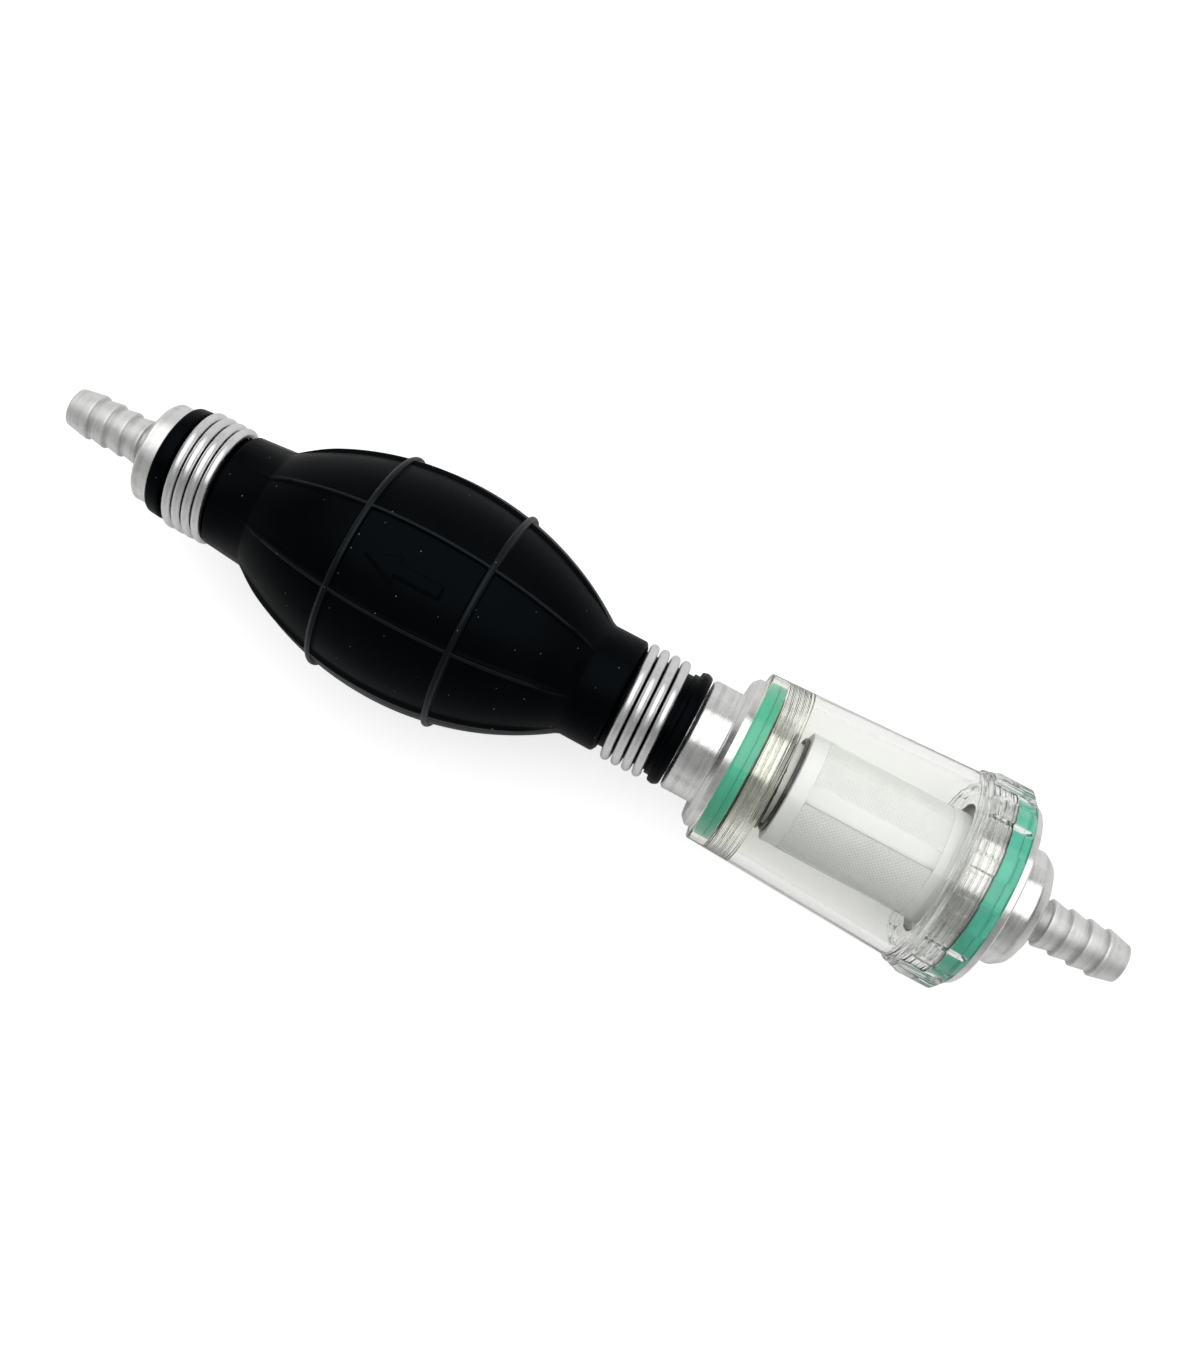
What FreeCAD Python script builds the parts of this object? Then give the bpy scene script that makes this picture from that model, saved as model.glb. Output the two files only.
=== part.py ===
"""Siphon bulb pump: a hand primer bulb with two check valves and an inline clear filter bowl.

The pump lies along X. Fuel enters at the inlet barb (+X), passes the strainer in the clear bowl,
then the inlet valve, the rubber bulb and the outlet valve, and leaves at the outlet barb (-X).
The origin is the middle of the pump, on its axis, and +Z points out of the side with the arrow.
Every outline is drawn as (x, radius) and turned about X. All lengths are in millimetres.
"""
import FreeCAD, Part
import math
import os
import Sketcher

ORIGIN = FreeCAD.Vector(0, 0, 0)
X_AXIS = FreeCAD.Vector(1, 0, 0)

doc = FreeCAD.newDocument("siphon_bulb_pump")
sheet = doc.addObject("Spreadsheet::Sheet", "Sheet")

# Driving dimensions: alias, value in millimetres (or degrees, or a count).
DRIVING = {
    # hose barbs
    "tip_to_centre": 121.6,
    "outlet_barb_crest_radius": 5.0,
    "outlet_barb_valley_radius": 4.45,
    "inlet_barb_crest_radius": 5.3,
    "inlet_barb_valley_radius": 4.65,
    "barb_tip_radius": 4.15,
    "barb_tooth_count": 4,
    "barb_land": 0.4,
    "barb_back": 0.44,
    "barb_nose": 4.9,
    "outlet_barb_pitch": 3.87,
    "inlet_barb_pitch": 4.17,
    "flow_radius": 3.0,
    # edge breaks shared by several pieces
    "fine_chamfer": 0.3,
    "chamfer": 0.4,
    "wide_chamfer": 0.5,
    # outlet fitting
    "outlet_collar_start": -101.7,
    "outlet_collar_radius": 10.95,
    "stem_radius": 7.6,
    "stem_ridge_radius": 8.0,
    "stem_ridge_count": 3,
    "stem_ridge_spacing": 4.5,
    "stem_ridge_half_foot": 0.7,
    "stem_ridge_half_land": 0.2,
    "outlet_first_ridge": 5.0,
    "stem_length": 17.6,
    "throat_length": 2.0,
    # rubber bulb
    "rubber_start": -97.7,
    "rubber_end": 22.2,
    "lip_length": 3.3,
    "lip_radius": 12.3,
    "lip_chamfer": 0.9,
    "neck_radius": 12.55,
    "neck_bore_radius": 8.1,
    "clamp_groove_radius": 10.85,
    "outlet_groove_end": -83.9,
    "inlet_groove_start": 7.5,
    "inlet_groove_end": 18.4,
    "inlet_groove_ramp": 1.0,
    "inlet_land_step": 0.55,
    "inlet_lip_length": 2.6,
    "inlet_lip_rise": 0.45,
    "inlet_lip_crown_start": 1.7,
    "inlet_lip_crown_end": 0.9,
    "belly_start": -76.0,
    "belly_end": -0.8,
    "belly_radius": 24.7,
    "bulb_wall": 3.2,
    "cavity_inset": 2.5,
    "cavity_mouth_step": 1.6,
    "cavity_funnel_reach": 1.0,
    "skin_inset": 1.0,
    "skin_foot_depth": 0.2,
    "rib_height": 0.8,
    "rib_width": 1.1,
    "rib_count": 8,
    "rib_angle": 20.0,
    "outlet_hoop_offset": 14.0,
    "inlet_hoop_offset": 12.9,
    "outlet_hoop_seat_radius": 23.1,
    "inlet_hoop_seat_radius": 23.4,
    "hoop_wire_radius": 1.1,
    "arrow_height": 0.55,
    "arrow_length": 16.7,
    "arrow_head_length": 7.3,
    "arrow_head_width": 5.9,
    "arrow_shaft_width": 2.8,
    "arrow_tip": -48.25,
    "arrow_tilt": -3.0,
    "arrow_block_depth": 3.0,
    "arrow_block_height": 5.0,
    # wire clamps
    "clamp_wire_radius": 1.0,
    "clamp_mean_radius": 12.0,
    "clamp_turns": 3.55,
    "clamp_start_angle": -100.0,
    "outlet_clamp_first": -93.3,
    "outlet_clamp_pitch": 2.28,
    "inlet_clamp_first": 8.62,
    "inlet_clamp_pitch": 2.42,
    # check valves
    "valve_radius": 6.5,
    "seat_thickness": 3.0,
    "seat_hole_radius": 3.2,
    "seat_countersink": 0.8,
    "seat_rebate": 0.6,
    "seal_radius": 4.5,
    "seal_thickness": 1.0,
    "seal_chamfer": 0.2,
    "poppet_radius": 4.2,
    "poppet_thickness": 1.2,
    "poppet_nose_radius": 1.6,
    "poppet_stem_radius": 1.0,
    "poppet_stem_length": 7.3,
    "guide_hole_radius": 1.06,
    "retainer_depth": 9.5,
    "retainer_thickness": 1.5,
    "window_radius": 1.4,
    "window_circle_radius": 4.1,
    "window_count": 5,
    "window_cut_depth": 3.0,
    "window_cut_length": 12.0,
    "valve_chamber_radius": 5.5,
    "valve_chamber_length": 4.0,
    "valve_wire_radius": 0.22,
    "valve_spring_radius": 2.3,
    "valve_spring_turns": 4.0,
    "valve_spring_end_gap": 0.264,
    # filter adapter
    "adapter_stem_start": 4.0,
    "inlet_first_ridge": 3.5,
    "inlet_retainer_inset": 2.5,
    "adapter_start": 22.6,
    "adapter_radius": 12.35,
    "adapter_chamfer": 0.6,
    "adapter_flange_start": 29.5,
    "adapter_flange_end": 32.6,
    "adapter_flange_radius": 16.8,
    "adapter_flange_slope_length": 0.8,
    "adapter_flange_slope_drop": 1.2,
    "adapter_end": 40.6,
    "adapter_root_radius": 15.1,
    "adapter_crest_radius": 15.9,
    "spigot_bore_radius": 9.08,
    "spigot_bore_start": 26.0,
    "spring_pocket_radius": 11.3,
    "spring_pocket_start": 35.0,
    # threads
    "thread_pitch": 1.25,
    "thread_turns": 2.8,
    "thread_foot": 1.05,
    "thread_crest": 0.35,
    "thread_clearance": 0.15,
    "thread_overlap": 0.06,
    "adapter_thread_lead": 0.2,
    "cap_thread_inset": 0.5,
    # gaskets
    "gasket_clearance": 0.12,
    "gasket_chamfer": 0.35,
    "adapter_gasket_end": 36.2,
    "adapter_gasket_radius": 17.4,
    "cap_gasket_start": 86.2,
    "cap_gasket_end": 90.4,
    "cap_gasket_radius": 19.9,
    # clear bowl
    "bowl_start": 32.2,
    "bowl_start_radius": 18.9,
    "bowl_end_radius": 21.06,
    "bowl_inner_start": 42.0,
    "bowl_inner_radius": 16.6,
    "collar_start": 79.2,
    "collar_bead_radius": 21.9,
    "collar_radius": 21.3,
    "collar_bore_lead": 0.7,
    "pad_start": 80.8,
    "pad_end": 89.8,
    "pad_radius": 22.75,
    "pad_lead": 0.6,
    "pad_lead_drop": 0.7,
    "pad_crown_inset": 0.3,
    "pad_chamfer": 0.9,
    "pad_foot_depth": 0.3,
    "pad_width_angle": 15.0,
    "pad_angle": 14.5,
    "pad_count": 12,
    # strainer element
    "spigot_start": 28.5,
    "spigot_radius": 9.0,
    "spigot_inner_radius": 7.6,
    "seal_groove_start": 30.0,
    "seal_groove_width": 1.8,
    "seal_groove_radius": 7.9,
    "spigot_seal_wire": 0.56,
    "element_start": 45.3,
    "element_ring_end": 48.9,
    "element_radius": 12.3,
    "mesh_radius": 11.6,
    "mesh_thickness": 0.4,
    "mesh_start": 47.3,
    "element_foot_ring_start": 77.0,
    "plug_start": 79.2,
    "plug_end": 82.0,
    "plug_nose_length": 1.7,
    "bar_count": 4,
    "bar_width_angle": 20.0,
    "bar_angle": -4.0,
    "bar_overlap": 0.3,
    "foot_count": 4,
    "foot_width": 2.0,
    "foot_inner_radius": 5.0,
    "foot_outer_radius": 11.0,
    "foot_overlap": 0.5,
    "foot_angle": 45.0,
    # strainer spring
    "strainer_wire_radius": 0.45,
    "strainer_spring_radius": 10.2,
    "strainer_spring_first": 35.5,
    "strainer_spring_pitch": 2.9,
    "strainer_spring_turns": 3.2,
    "strainer_spring_angle": -186.0,
    # end cap
    "cap_start": 80.2,
    "cap_root_radius": 17.6,
    "cap_crest_radius": 18.4,
    "cap_pocket_radius": 14.5,
    "cap_pocket_end": 84.5,
    "cap_neck_radius": 18.2,
    "cap_flange_end": 92.2,
    "cap_flange_radius": 20.1,
    "boss_end": 100.8,
    "boss_radius": 12.8,
    "boss_round_start": 98.0,
    "boss_end_radius": 9.2,
    "boss_round_radius": 5.0,
}


class Size:
    """A size with its value and the sheet expression that it comes from, so sums stay linked."""

    def __init__(self, value, text):
        self.value = value
        self.text = text

    def __add__(self, other):
        other = as_size(other)
        return Size(self.value + other.value, f"({self.text} + {other.text})")

    def __sub__(self, other):
        other = as_size(other)
        return Size(self.value - other.value, f"({self.text} - {other.text})")

    def __mul__(self, other):
        other = as_size(other)
        return Size(self.value * other.value, f"({self.text} * {other.text})")

    def __truediv__(self, other):
        other = as_size(other)
        return Size(self.value / other.value, f"({self.text} / {other.text})")

    def __neg__(self):
        return Size(-self.value, f"(-1 * {self.text})")


def as_size(number):
    """Turn a plain number into a Size; a Size stays as it is."""
    if isinstance(number, Size):
        return number
    return Size(float(number), repr(float(number)))


class Dimensions:
    """The driving dimensions by name, each linked to its cell in the sheet."""


def fill_sheet():
    """Write the driving dimensions into the sheet and return them as linked sizes."""
    linked = Dimensions()
    for row, (alias, value) in enumerate(DRIVING.items(), start=1):
        sheet.set(f"A{row}", alias)
        sheet.set(f"B{row}", str(value))
        sheet.setAlias(f"B{row}", alias)
        setattr(linked, alias, Size(float(value), f"Sheet.{alias}"))
    doc.recompute()
    return linked


d = fill_sheet()


# ---------------------------------------------------------------------------- drawing helpers

def new_body(label):
    body = doc.addObject("PartDesign::Body", label)
    body.Label = label
    return body


def origin_plane(body, role):
    for feature in body.Origin.OriginFeatures:
        if feature.Role == role:
            return feature
    raise ValueError(f"{body.Label} has no {role}")


def new_sketch(body, name, plane="XZ_Plane", angle=0.0, lift=0.0):
    """A sketch on an origin plane, turned about X by angle and lifted along its own normal."""
    sketch = body.newObject("Sketcher::SketchObject", name)
    sketch.AttachmentSupport = [(origin_plane(body, plane), "")]
    sketch.MapMode = "FlatFace"
    offset = FreeCAD.Placement(FreeCAD.Vector(0, 0, lift), FreeCAD.Rotation(X_AXIS, angle))
    sketch.AttachmentOffset = offset
    return sketch


def arc_between(start, end, radius):
    """The arc from start to end: it bulges to the left of that direction, or right if negative."""
    chord = end - start
    middle = (start + end) * 0.5
    left = FreeCAD.Vector(-chord.y, chord.x, 0).normalize()
    sagitta = abs(radius) - math.sqrt(radius ** 2 - (chord.Length / 2) ** 2)
    return Part.Arc(start, middle + left * math.copysign(sagitta, radius), end)


def draw_outline(sketch, corners):
    """Draw a closed outline. A corner is (x, y), or (x, y, radius) where an arc leads to the next."""
    corners = [[as_size(number) for number in corner] for corner in corners]
    points = [FreeCAD.Vector(corner[0].value, corner[1].value, 0) for corner in corners]
    edges = []
    starts = []
    for index, corner in enumerate(corners):
        here = points[index]
        following = points[(index + 1) % len(points)]
        if len(corner) == 3:
            edges.append(arc_between(here, following, corner[2].value))
            starts.append(2 if corner[2].value > 0 else 1)
        else:
            edges.append(Part.LineSegment(here, following))
            starts.append(1)
    sketch.addGeometry(edges, False)
    rules = []
    links = []
    for index, corner in enumerate(corners):
        following = (index + 1) % len(corners)
        ends_at = 3 - starts[index]
        rules.append(Sketcher.Constraint("Coincident", index, ends_at, following, starts[following]))
        rules.append(Sketcher.Constraint("DistanceX", index, starts[index], corner[0].value))
        links.append((len(rules) - 1, corner[0]))
        if corner[1].value == 0.0:
            rules.append(Sketcher.Constraint("PointOnObject", index, starts[index], -1))
        else:
            rules.append(Sketcher.Constraint("DistanceY", index, starts[index], corner[1].value))
            links.append((len(rules) - 1, corner[1]))
        if len(corner) == 3:
            bend = corner[2] if corner[2].value > 0 else -corner[2]
            rules.append(Sketcher.Constraint("Radius", index, bend.value))
            links.append((len(rules) - 1, bend))
    sketch.addConstraint(rules)
    for number, size in links:
        if "Sheet" in size.text:
            sketch.setExpression(f"Constraints[{number}]", size.text)
    return sketch


def draw_circles(sketch, circles):
    """Draw full circles, each given as (x, y, radius)."""
    for x, y, radius in circles:
        x, y, radius = as_size(x), as_size(y), as_size(radius)
        centre = FreeCAD.Vector(x.value, y.value, 0)
        edge = sketch.addGeometry(Part.Circle(centre, FreeCAD.Vector(0, 0, 1), radius.value), False)
        for kind, size in (("DistanceX", x), ("DistanceY", y)):
            if size.value == 0.0:
                line = -2 if kind == "DistanceX" else -1
                sketch.addConstraint(Sketcher.Constraint("PointOnObject", edge, 3, line))
                continue
            number = sketch.addConstraint(Sketcher.Constraint(kind, edge, 3, size.value))
            if "Sheet" in size.text:
                sketch.setExpression(f"Constraints[{number}]", size.text)
        number = sketch.addConstraint(Sketcher.Constraint("Radius", edge, radius.value))
        sketch.setExpression(f"Constraints[{number}]", radius.text)
    return sketch


def turn(body, name, sketch, sweep=360.0):
    """Turn a sketch about X, through a full circle or a sector centred on the sketch."""
    feature = body.newObject("PartDesign::Revolution", name)
    feature.Profile = sketch
    feature.ReferenceAxis = (sketch, ["H_Axis"])
    sweep = as_size(sweep)
    feature.Angle = sweep.value
    feature.Midplane = sweep.value < 360.0
    if "Sheet" in sweep.text:
        feature.setExpression("Angle", sweep.text)
    sketch.Visibility = False
    return feature


def turned_body(label, corners):
    """A round piece: one closed outline turned about X."""
    body = new_body(label)
    turn(body, label + "_turned", draw_outline(new_sketch(body, label + "_outline"), corners))
    return body


def repeat_round(body, name, features, count):
    """Repeat features evenly about X and make the result the body's tip."""
    pattern = body.newObject("PartDesign::PolarPattern", name)
    pattern.Originals = features
    pattern.Axis = (origin_plane(body, "X_Axis"), [""])
    pattern.Angle = 360.0
    pattern.Occurrences = int(count.value)
    pattern.setExpression("Occurrences", count.text)
    body.Tip = pattern
    return pattern


def wind(body, name, sketch, pitch, turns):
    """Sweep a sketch along a right-hand helix about X, towards +X."""
    feature = body.newObject("PartDesign::AdditiveHelix", name)
    feature.Profile = sketch
    feature.ReferenceAxis = (origin_plane(body, "X_Axis"), [""])
    feature.Mode = 1
    feature.Pitch = pitch.value
    feature.Turns = turns.value
    feature.setExpression("Pitch", pitch.text)
    feature.setExpression("Turns", turns.text)
    feature.LeftHanded = False
    feature.Reversed = False
    sketch.Visibility = False
    return feature


def coil(label, first, mean_radius, wire_radius, pitch, turns, angle):
    """A coil of round wire about X that starts at first, at an angle from +Z."""
    body = new_body(label)
    section = new_sketch(body, label + "_section", angle=angle)
    draw_circles(section, [(first, mean_radius, wire_radius)])
    wind(body, label + "_winding", section, pitch, turns)
    return body


# ---------------------------------------------------------------------------- shared shapes

def barb_corners(tip, pitch, crest_radius, valley_radius, inward):
    """The barb's outline from its tip to the foot of its last tooth; inward is +1 or -1 along X."""
    corners = [(tip, d.barb_tip_radius)]
    half_land = d.barb_land * 0.5
    for tooth in range(DRIVING["barb_tooth_count"]):
        crest = tip + (d.barb_nose + pitch * tooth) * inward
        corners.append((crest - half_land * inward, crest_radius))
        corners.append((crest + half_land * inward, crest_radius))
        corners.append((crest + d.barb_back * inward, valley_radius))
    return corners


def stem_ridges(first):
    """The holding ridges on a stem that a rubber neck is pushed over."""
    corners = []
    for ridge in range(DRIVING["stem_ridge_count"]):
        crest = first + d.stem_ridge_spacing * ridge
        corners.append((crest - d.stem_ridge_half_foot, d.stem_radius))
        corners.append((crest - d.stem_ridge_half_land, d.stem_ridge_radius))
        corners.append((crest + d.stem_ridge_half_land, d.stem_ridge_radius))
        corners.append((crest + d.stem_ridge_half_foot, d.stem_radius))
    return corners


def male_thread(body, name, start, root_radius, crest_radius):
    """A helical ridge on a root cylinder."""
    middle = start + d.thread_foot * 0.5
    ridge = new_sketch(body, name + "_tooth", angle=90.0)
    draw_outline(ridge, [
        (middle - d.thread_foot * 0.5, root_radius - d.thread_overlap),
        (middle + d.thread_foot * 0.5, root_radius - d.thread_overlap),
        (middle + d.thread_crest * 0.5, crest_radius),
        (middle - d.thread_crest * 0.5, crest_radius),
    ])
    wind(body, name, ridge, d.thread_pitch, d.thread_turns)


# ---------------------------------------------------------------------------- outlet end

def outlet_fitting():
    """Aluminium hose barb with a collar and a ridged stem that holds the outlet valve."""
    stem_end = d.rubber_start + d.stem_length
    pocket_end = stem_end - d.retainer_depth - d.retainer_thickness
    tip = -d.tip_to_centre
    corners = barb_corners(tip, d.outlet_barb_pitch, d.outlet_barb_crest_radius,
                           d.outlet_barb_valley_radius, 1)
    corners += [
        (d.outlet_collar_start, d.outlet_barb_valley_radius),
        (d.outlet_collar_start, d.outlet_collar_radius - d.wide_chamfer),
        (d.outlet_collar_start + d.wide_chamfer, d.outlet_collar_radius),
        (d.rubber_start - d.fine_chamfer, d.outlet_collar_radius),
        (d.rubber_start, d.outlet_collar_radius - d.fine_chamfer),
        (d.rubber_start, d.stem_radius),
    ]
    corners += stem_ridges(d.rubber_start + d.outlet_first_ridge)
    corners += [
        (stem_end, d.stem_radius),
        (stem_end, d.valve_radius),
        (pocket_end, d.valve_radius),
        (pocket_end, d.valve_chamber_radius),
        (pocket_end - d.valve_chamber_length, d.valve_chamber_radius),
        (pocket_end - d.valve_chamber_length - d.throat_length, d.flow_radius),
        (tip, d.flow_radius),
    ]
    return turned_body("outlet_fitting", corners)


def wire_clamp(label, first, pitch):
    """A close coil of zinc-plated wire that grips a rubber neck."""
    return coil(label, first, d.clamp_mean_radius, d.clamp_wire_radius, pitch, d.clamp_turns,
                DRIVING["clamp_start_angle"])


# ---------------------------------------------------------------------------- rubber bulb

def chord_radius(half_length, rise):
    """The radius of the arc with this half chord and this rise."""
    return (half_length * half_length + rise * rise) / (rise * 2.0)


def belly_arc(start, end, end_radius, middle_radius):
    """The first corner of a barrel arc from start to end, with its radius."""
    return (start, end_radius, chord_radius((end - start) * 0.5, middle_radius - end_radius))


def rubber_bulb():
    """The hollow rubber bulb with both necks, its ribs, its two hoops and its raised arrow."""
    body = new_body("bulb_moulding")
    cavity_radius = d.belly_radius - d.bulb_wall
    cavity_start = d.belly_start + d.cavity_inset
    cavity_end = d.belly_end - d.cavity_inset
    cavity_mouth = d.neck_bore_radius + d.cavity_mouth_step
    back = belly_arc(cavity_start, cavity_end, cavity_mouth, cavity_radius)
    lip_inside = d.rubber_start + d.lip_length
    draw = [
        (d.rubber_start, d.neck_bore_radius),
        (d.rubber_start, d.lip_radius - d.lip_chamfer),
        (d.rubber_start + d.lip_chamfer, d.lip_radius),
        (lip_inside - d.chamfer, d.lip_radius),
        (lip_inside, d.lip_radius - d.chamfer),
        (lip_inside, d.clamp_groove_radius),
        (d.outlet_groove_end, d.clamp_groove_radius),
        (d.outlet_groove_end, d.neck_radius - d.wide_chamfer),
        (d.outlet_groove_end + d.wide_chamfer, d.neck_radius),
        belly_arc(d.belly_start, d.belly_end, d.neck_radius, d.belly_radius),
        (d.belly_end, d.neck_radius),
        (d.inlet_groove_start - d.inlet_groove_ramp, d.neck_radius),
        (d.inlet_groove_start, d.neck_radius - d.inlet_groove_ramp),
        (d.inlet_groove_start, d.clamp_groove_radius),
        (d.inlet_groove_end, d.clamp_groove_radius),
        (d.inlet_groove_end, d.clamp_groove_radius + d.inlet_land_step),
        (d.rubber_end - d.inlet_lip_length, d.clamp_groove_radius + d.inlet_land_step),
        (d.rubber_end - d.inlet_lip_length, d.lip_radius - d.chamfer),
        (d.rubber_end - d.inlet_lip_crown_start, d.lip_radius + d.inlet_lip_rise),
        (d.rubber_end - d.inlet_lip_crown_end, d.lip_radius + d.inlet_lip_rise),
        (d.rubber_end, d.lip_radius - d.chamfer),
        (d.rubber_end, d.neck_bore_radius),
        (d.belly_end + d.cavity_funnel_reach, d.neck_bore_radius),
        (cavity_end, cavity_mouth),
        (cavity_start, cavity_mouth),
        (d.belly_start - d.cavity_funnel_reach, d.neck_bore_radius),
    ]
    sketch = new_sketch(body, "bulb_outline")
    draw_cavity_outline(sketch, draw, back[2])
    turn(body, "bulb_turned", sketch)

    hoops = new_sketch(body, "hoop_sections")
    middle = (d.belly_start + d.belly_end) * 0.5
    draw_circles(hoops, [
        (middle - d.outlet_hoop_offset, d.outlet_hoop_seat_radius, d.hoop_wire_radius),
        (middle + d.inlet_hoop_offset, d.inlet_hoop_seat_radius, d.hoop_wire_radius),
    ])
    turn(body, "hoops", hoops)

    rib_sketch = new_sketch(body, "rib_outline", angle=DRIVING["rib_angle"])
    skin_crescent(rib_sketch, d.belly_radius + d.rib_height)
    rib = body.newObject("PartDesign::Pad", "rib")
    rib.Profile = rib_sketch
    rib.Midplane = True
    rib.Length = d.rib_width.value
    rib.setExpression("Length", d.rib_width.text)
    repeat_round(body, "ribs", [rib], d.rib_count)

    arrow_skin = new_body("arrow_skin")
    skin_sketch = new_sketch(arrow_skin, "arrow_skin_outline")
    skin_crescent(skin_sketch, d.belly_radius + d.arrow_height)
    turn(arrow_skin, "arrow_skin_turned", skin_sketch)

    arrow_block = new_body("arrow_block")
    draw_arrow(arrow_block)
    arrow_block.Placement = FreeCAD.Placement(ORIGIN, FreeCAD.Rotation(X_AXIS, d.arrow_tilt.value))

    arrow = doc.addObject("Part::MultiCommon", "arrow")
    arrow.Shapes = [arrow_skin, arrow_block]
    bulb = doc.addObject("Part::MultiFuse", "rubber_bulb")
    bulb.Shapes = [body, arrow]
    bulb.Label = "rubber_bulb"
    return bulb


def draw_cavity_outline(sketch, corners, cavity_arc_radius):
    """The bulb's outline, whose cavity is an arc that runs back towards the outlet."""
    corners = list(corners)
    mouth = len(corners) - 3
    x, radius = corners[mouth]
    corners[mouth] = (x, radius, -cavity_arc_radius)
    draw_outline(sketch, corners)


def skin_crescent(sketch, crown_radius):
    """A crescent that stands on the belly: its inner edge lies inside the wall."""
    start = d.belly_start + d.skin_inset
    end = d.belly_end - d.skin_inset
    foot = d.neck_radius - d.skin_foot_depth
    outer = chord_radius((end - start) * 0.5, crown_radius - foot)
    inner = chord_radius((end - start) * 0.5, d.belly_radius - d.bulb_wall * 0.5 - foot)
    draw_outline(sketch, [(start, foot, outer), (end, foot, -inner)])


def draw_arrow(body):
    """A block arrow that points to the outlet, tall enough to be trimmed to the belly's curve."""
    lift = (d.belly_radius - d.arrow_block_depth).value
    sketch = new_sketch(body, "arrow_outline", plane="XY_Plane", lift=lift)
    neck = d.arrow_tip + d.arrow_head_length
    tail = d.arrow_tip + d.arrow_length
    head = d.arrow_head_width * 0.5
    shaft = d.arrow_shaft_width * 0.5
    draw_outline(sketch, [
        (d.arrow_tip, 0), (neck, -head), (neck, -shaft), (tail, -shaft),
        (tail, shaft), (neck, shaft), (neck, head),
    ])
    pad = body.newObject("PartDesign::Pad", "arrow_pad")
    pad.Profile = sketch
    pad.Length = d.arrow_block_height.value
    pad.setExpression("Length", d.arrow_block_height.text)


# ---------------------------------------------------------------------------- check valves

def check_valve(side, face):
    """A spring check valve. Fuel meets its seat at face and lifts the poppet towards -X."""

    def place(depth):
        return face - depth

    seat_back = d.seat_thickness
    seal_back = seat_back + d.seal_thickness
    disc_back = seal_back + d.poppet_thickness
    turned_body(side + "_valve_seat", [
        (face, d.seat_hole_radius + d.seat_countersink),
        (face, d.valve_radius - d.fine_chamfer),
        (place(d.fine_chamfer), d.valve_radius),
        (place(seat_back - d.seat_rebate), d.valve_radius),
        (place(seat_back - d.seat_rebate), d.seal_radius),
        (place(seat_back), d.seal_radius - d.chamfer),
        (place(seat_back), d.seat_hole_radius),
        (place(d.seat_countersink), d.seat_hole_radius),
    ])
    turned_body(side + "_valve_seal", [
        (place(seat_back), d.poppet_nose_radius),
        (place(seat_back), d.seal_radius - d.seal_chamfer),
        (place(seat_back + d.seal_chamfer), d.seal_radius),
        (place(seal_back), d.seal_radius),
        (place(seal_back), d.poppet_nose_radius),
    ])
    turned_body(side + "_valve_poppet", [
        (place(seat_back - d.wide_chamfer), 0),
        (place(seat_back - d.wide_chamfer), d.poppet_nose_radius - d.wide_chamfer),
        (place(seat_back), d.poppet_nose_radius),
        (place(seal_back), d.poppet_nose_radius),
        (place(seal_back), d.poppet_radius),
        (place(disc_back), d.poppet_radius),
        (place(disc_back), d.poppet_stem_radius),
        (place(disc_back + d.poppet_stem_length), d.poppet_stem_radius),
        (place(disc_back + d.poppet_stem_length), 0),
    ])
    retainer_back = d.retainer_depth + d.retainer_thickness
    retainer = turned_body(side + "_valve_retainer", [
        (place(d.retainer_depth), d.guide_hole_radius),
        (place(d.retainer_depth), d.valve_radius),
        (place(retainer_back), d.valve_radius),
        (place(retainer_back), d.guide_hole_radius),
    ])
    windows = new_sketch(retainer, side + "_window_outline", plane="YZ_Plane",
                         lift=place(d.retainer_depth + d.window_cut_depth).value)
    draw_circles(windows, [(d.window_circle_radius, 0, d.window_radius)])
    window = retainer.newObject("PartDesign::Pocket", side + "_window")
    window.Profile = windows
    window.Midplane = True
    window.Length = d.window_cut_length.value
    window.setExpression("Length", d.window_cut_length.text)
    repeat_round(retainer, side + "_windows", [window], d.window_count)

    free_length = d.retainer_depth - disc_back - d.valve_spring_end_gap * 2.0
    coil(side + "_valve_spring", place(d.retainer_depth - d.valve_spring_end_gap),
         d.valve_spring_radius, d.valve_wire_radius, free_length / d.valve_spring_turns,
         d.valve_spring_turns, 0.0)


# ---------------------------------------------------------------------------- filter housing

def inlet_valve_face():
    """Where fuel meets the inlet valve's seat, at the back of the adapter's stem bore."""
    retainer_start = d.adapter_stem_start + d.inlet_retainer_inset
    return retainer_start + d.retainer_thickness + d.retainer_depth


def filter_adapter():
    """Aluminium adapter: ridged stem with the inlet valve, turned body, flange and thread."""
    pocket_end = inlet_valve_face()
    corners = [(d.adapter_stem_start, d.valve_radius), (d.adapter_stem_start, d.stem_radius)]
    corners += stem_ridges(d.adapter_stem_start + d.inlet_first_ridge)
    corners += [
        (d.adapter_start, d.stem_radius),
        (d.adapter_start, d.adapter_radius - d.adapter_chamfer),
        (d.adapter_start + d.adapter_chamfer, d.adapter_radius),
        (d.adapter_flange_start, d.adapter_radius),
        (d.adapter_flange_start, d.adapter_flange_radius - d.adapter_flange_slope_drop),
        (d.adapter_flange_start + d.adapter_flange_slope_length, d.adapter_flange_radius),
        (d.adapter_flange_end, d.adapter_flange_radius),
        (d.adapter_flange_end, d.adapter_root_radius),
        (d.adapter_end - d.chamfer, d.adapter_root_radius),
        (d.adapter_end, d.adapter_root_radius - d.chamfer),
        (d.adapter_end, d.spring_pocket_radius),
        (d.spring_pocket_start, d.spring_pocket_radius),
        (d.spring_pocket_start, d.spigot_bore_radius),
        (d.spigot_bore_start, d.spigot_bore_radius),
        (d.spigot_bore_start, d.flow_radius),
        (pocket_end, d.flow_radius),
        (pocket_end, d.valve_radius),
    ]
    body = turned_body("filter_adapter", corners)
    male_thread(body, "adapter_thread", d.adapter_gasket_end - d.adapter_thread_lead,
                d.adapter_root_radius, d.adapter_crest_radius)
    return body


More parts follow.
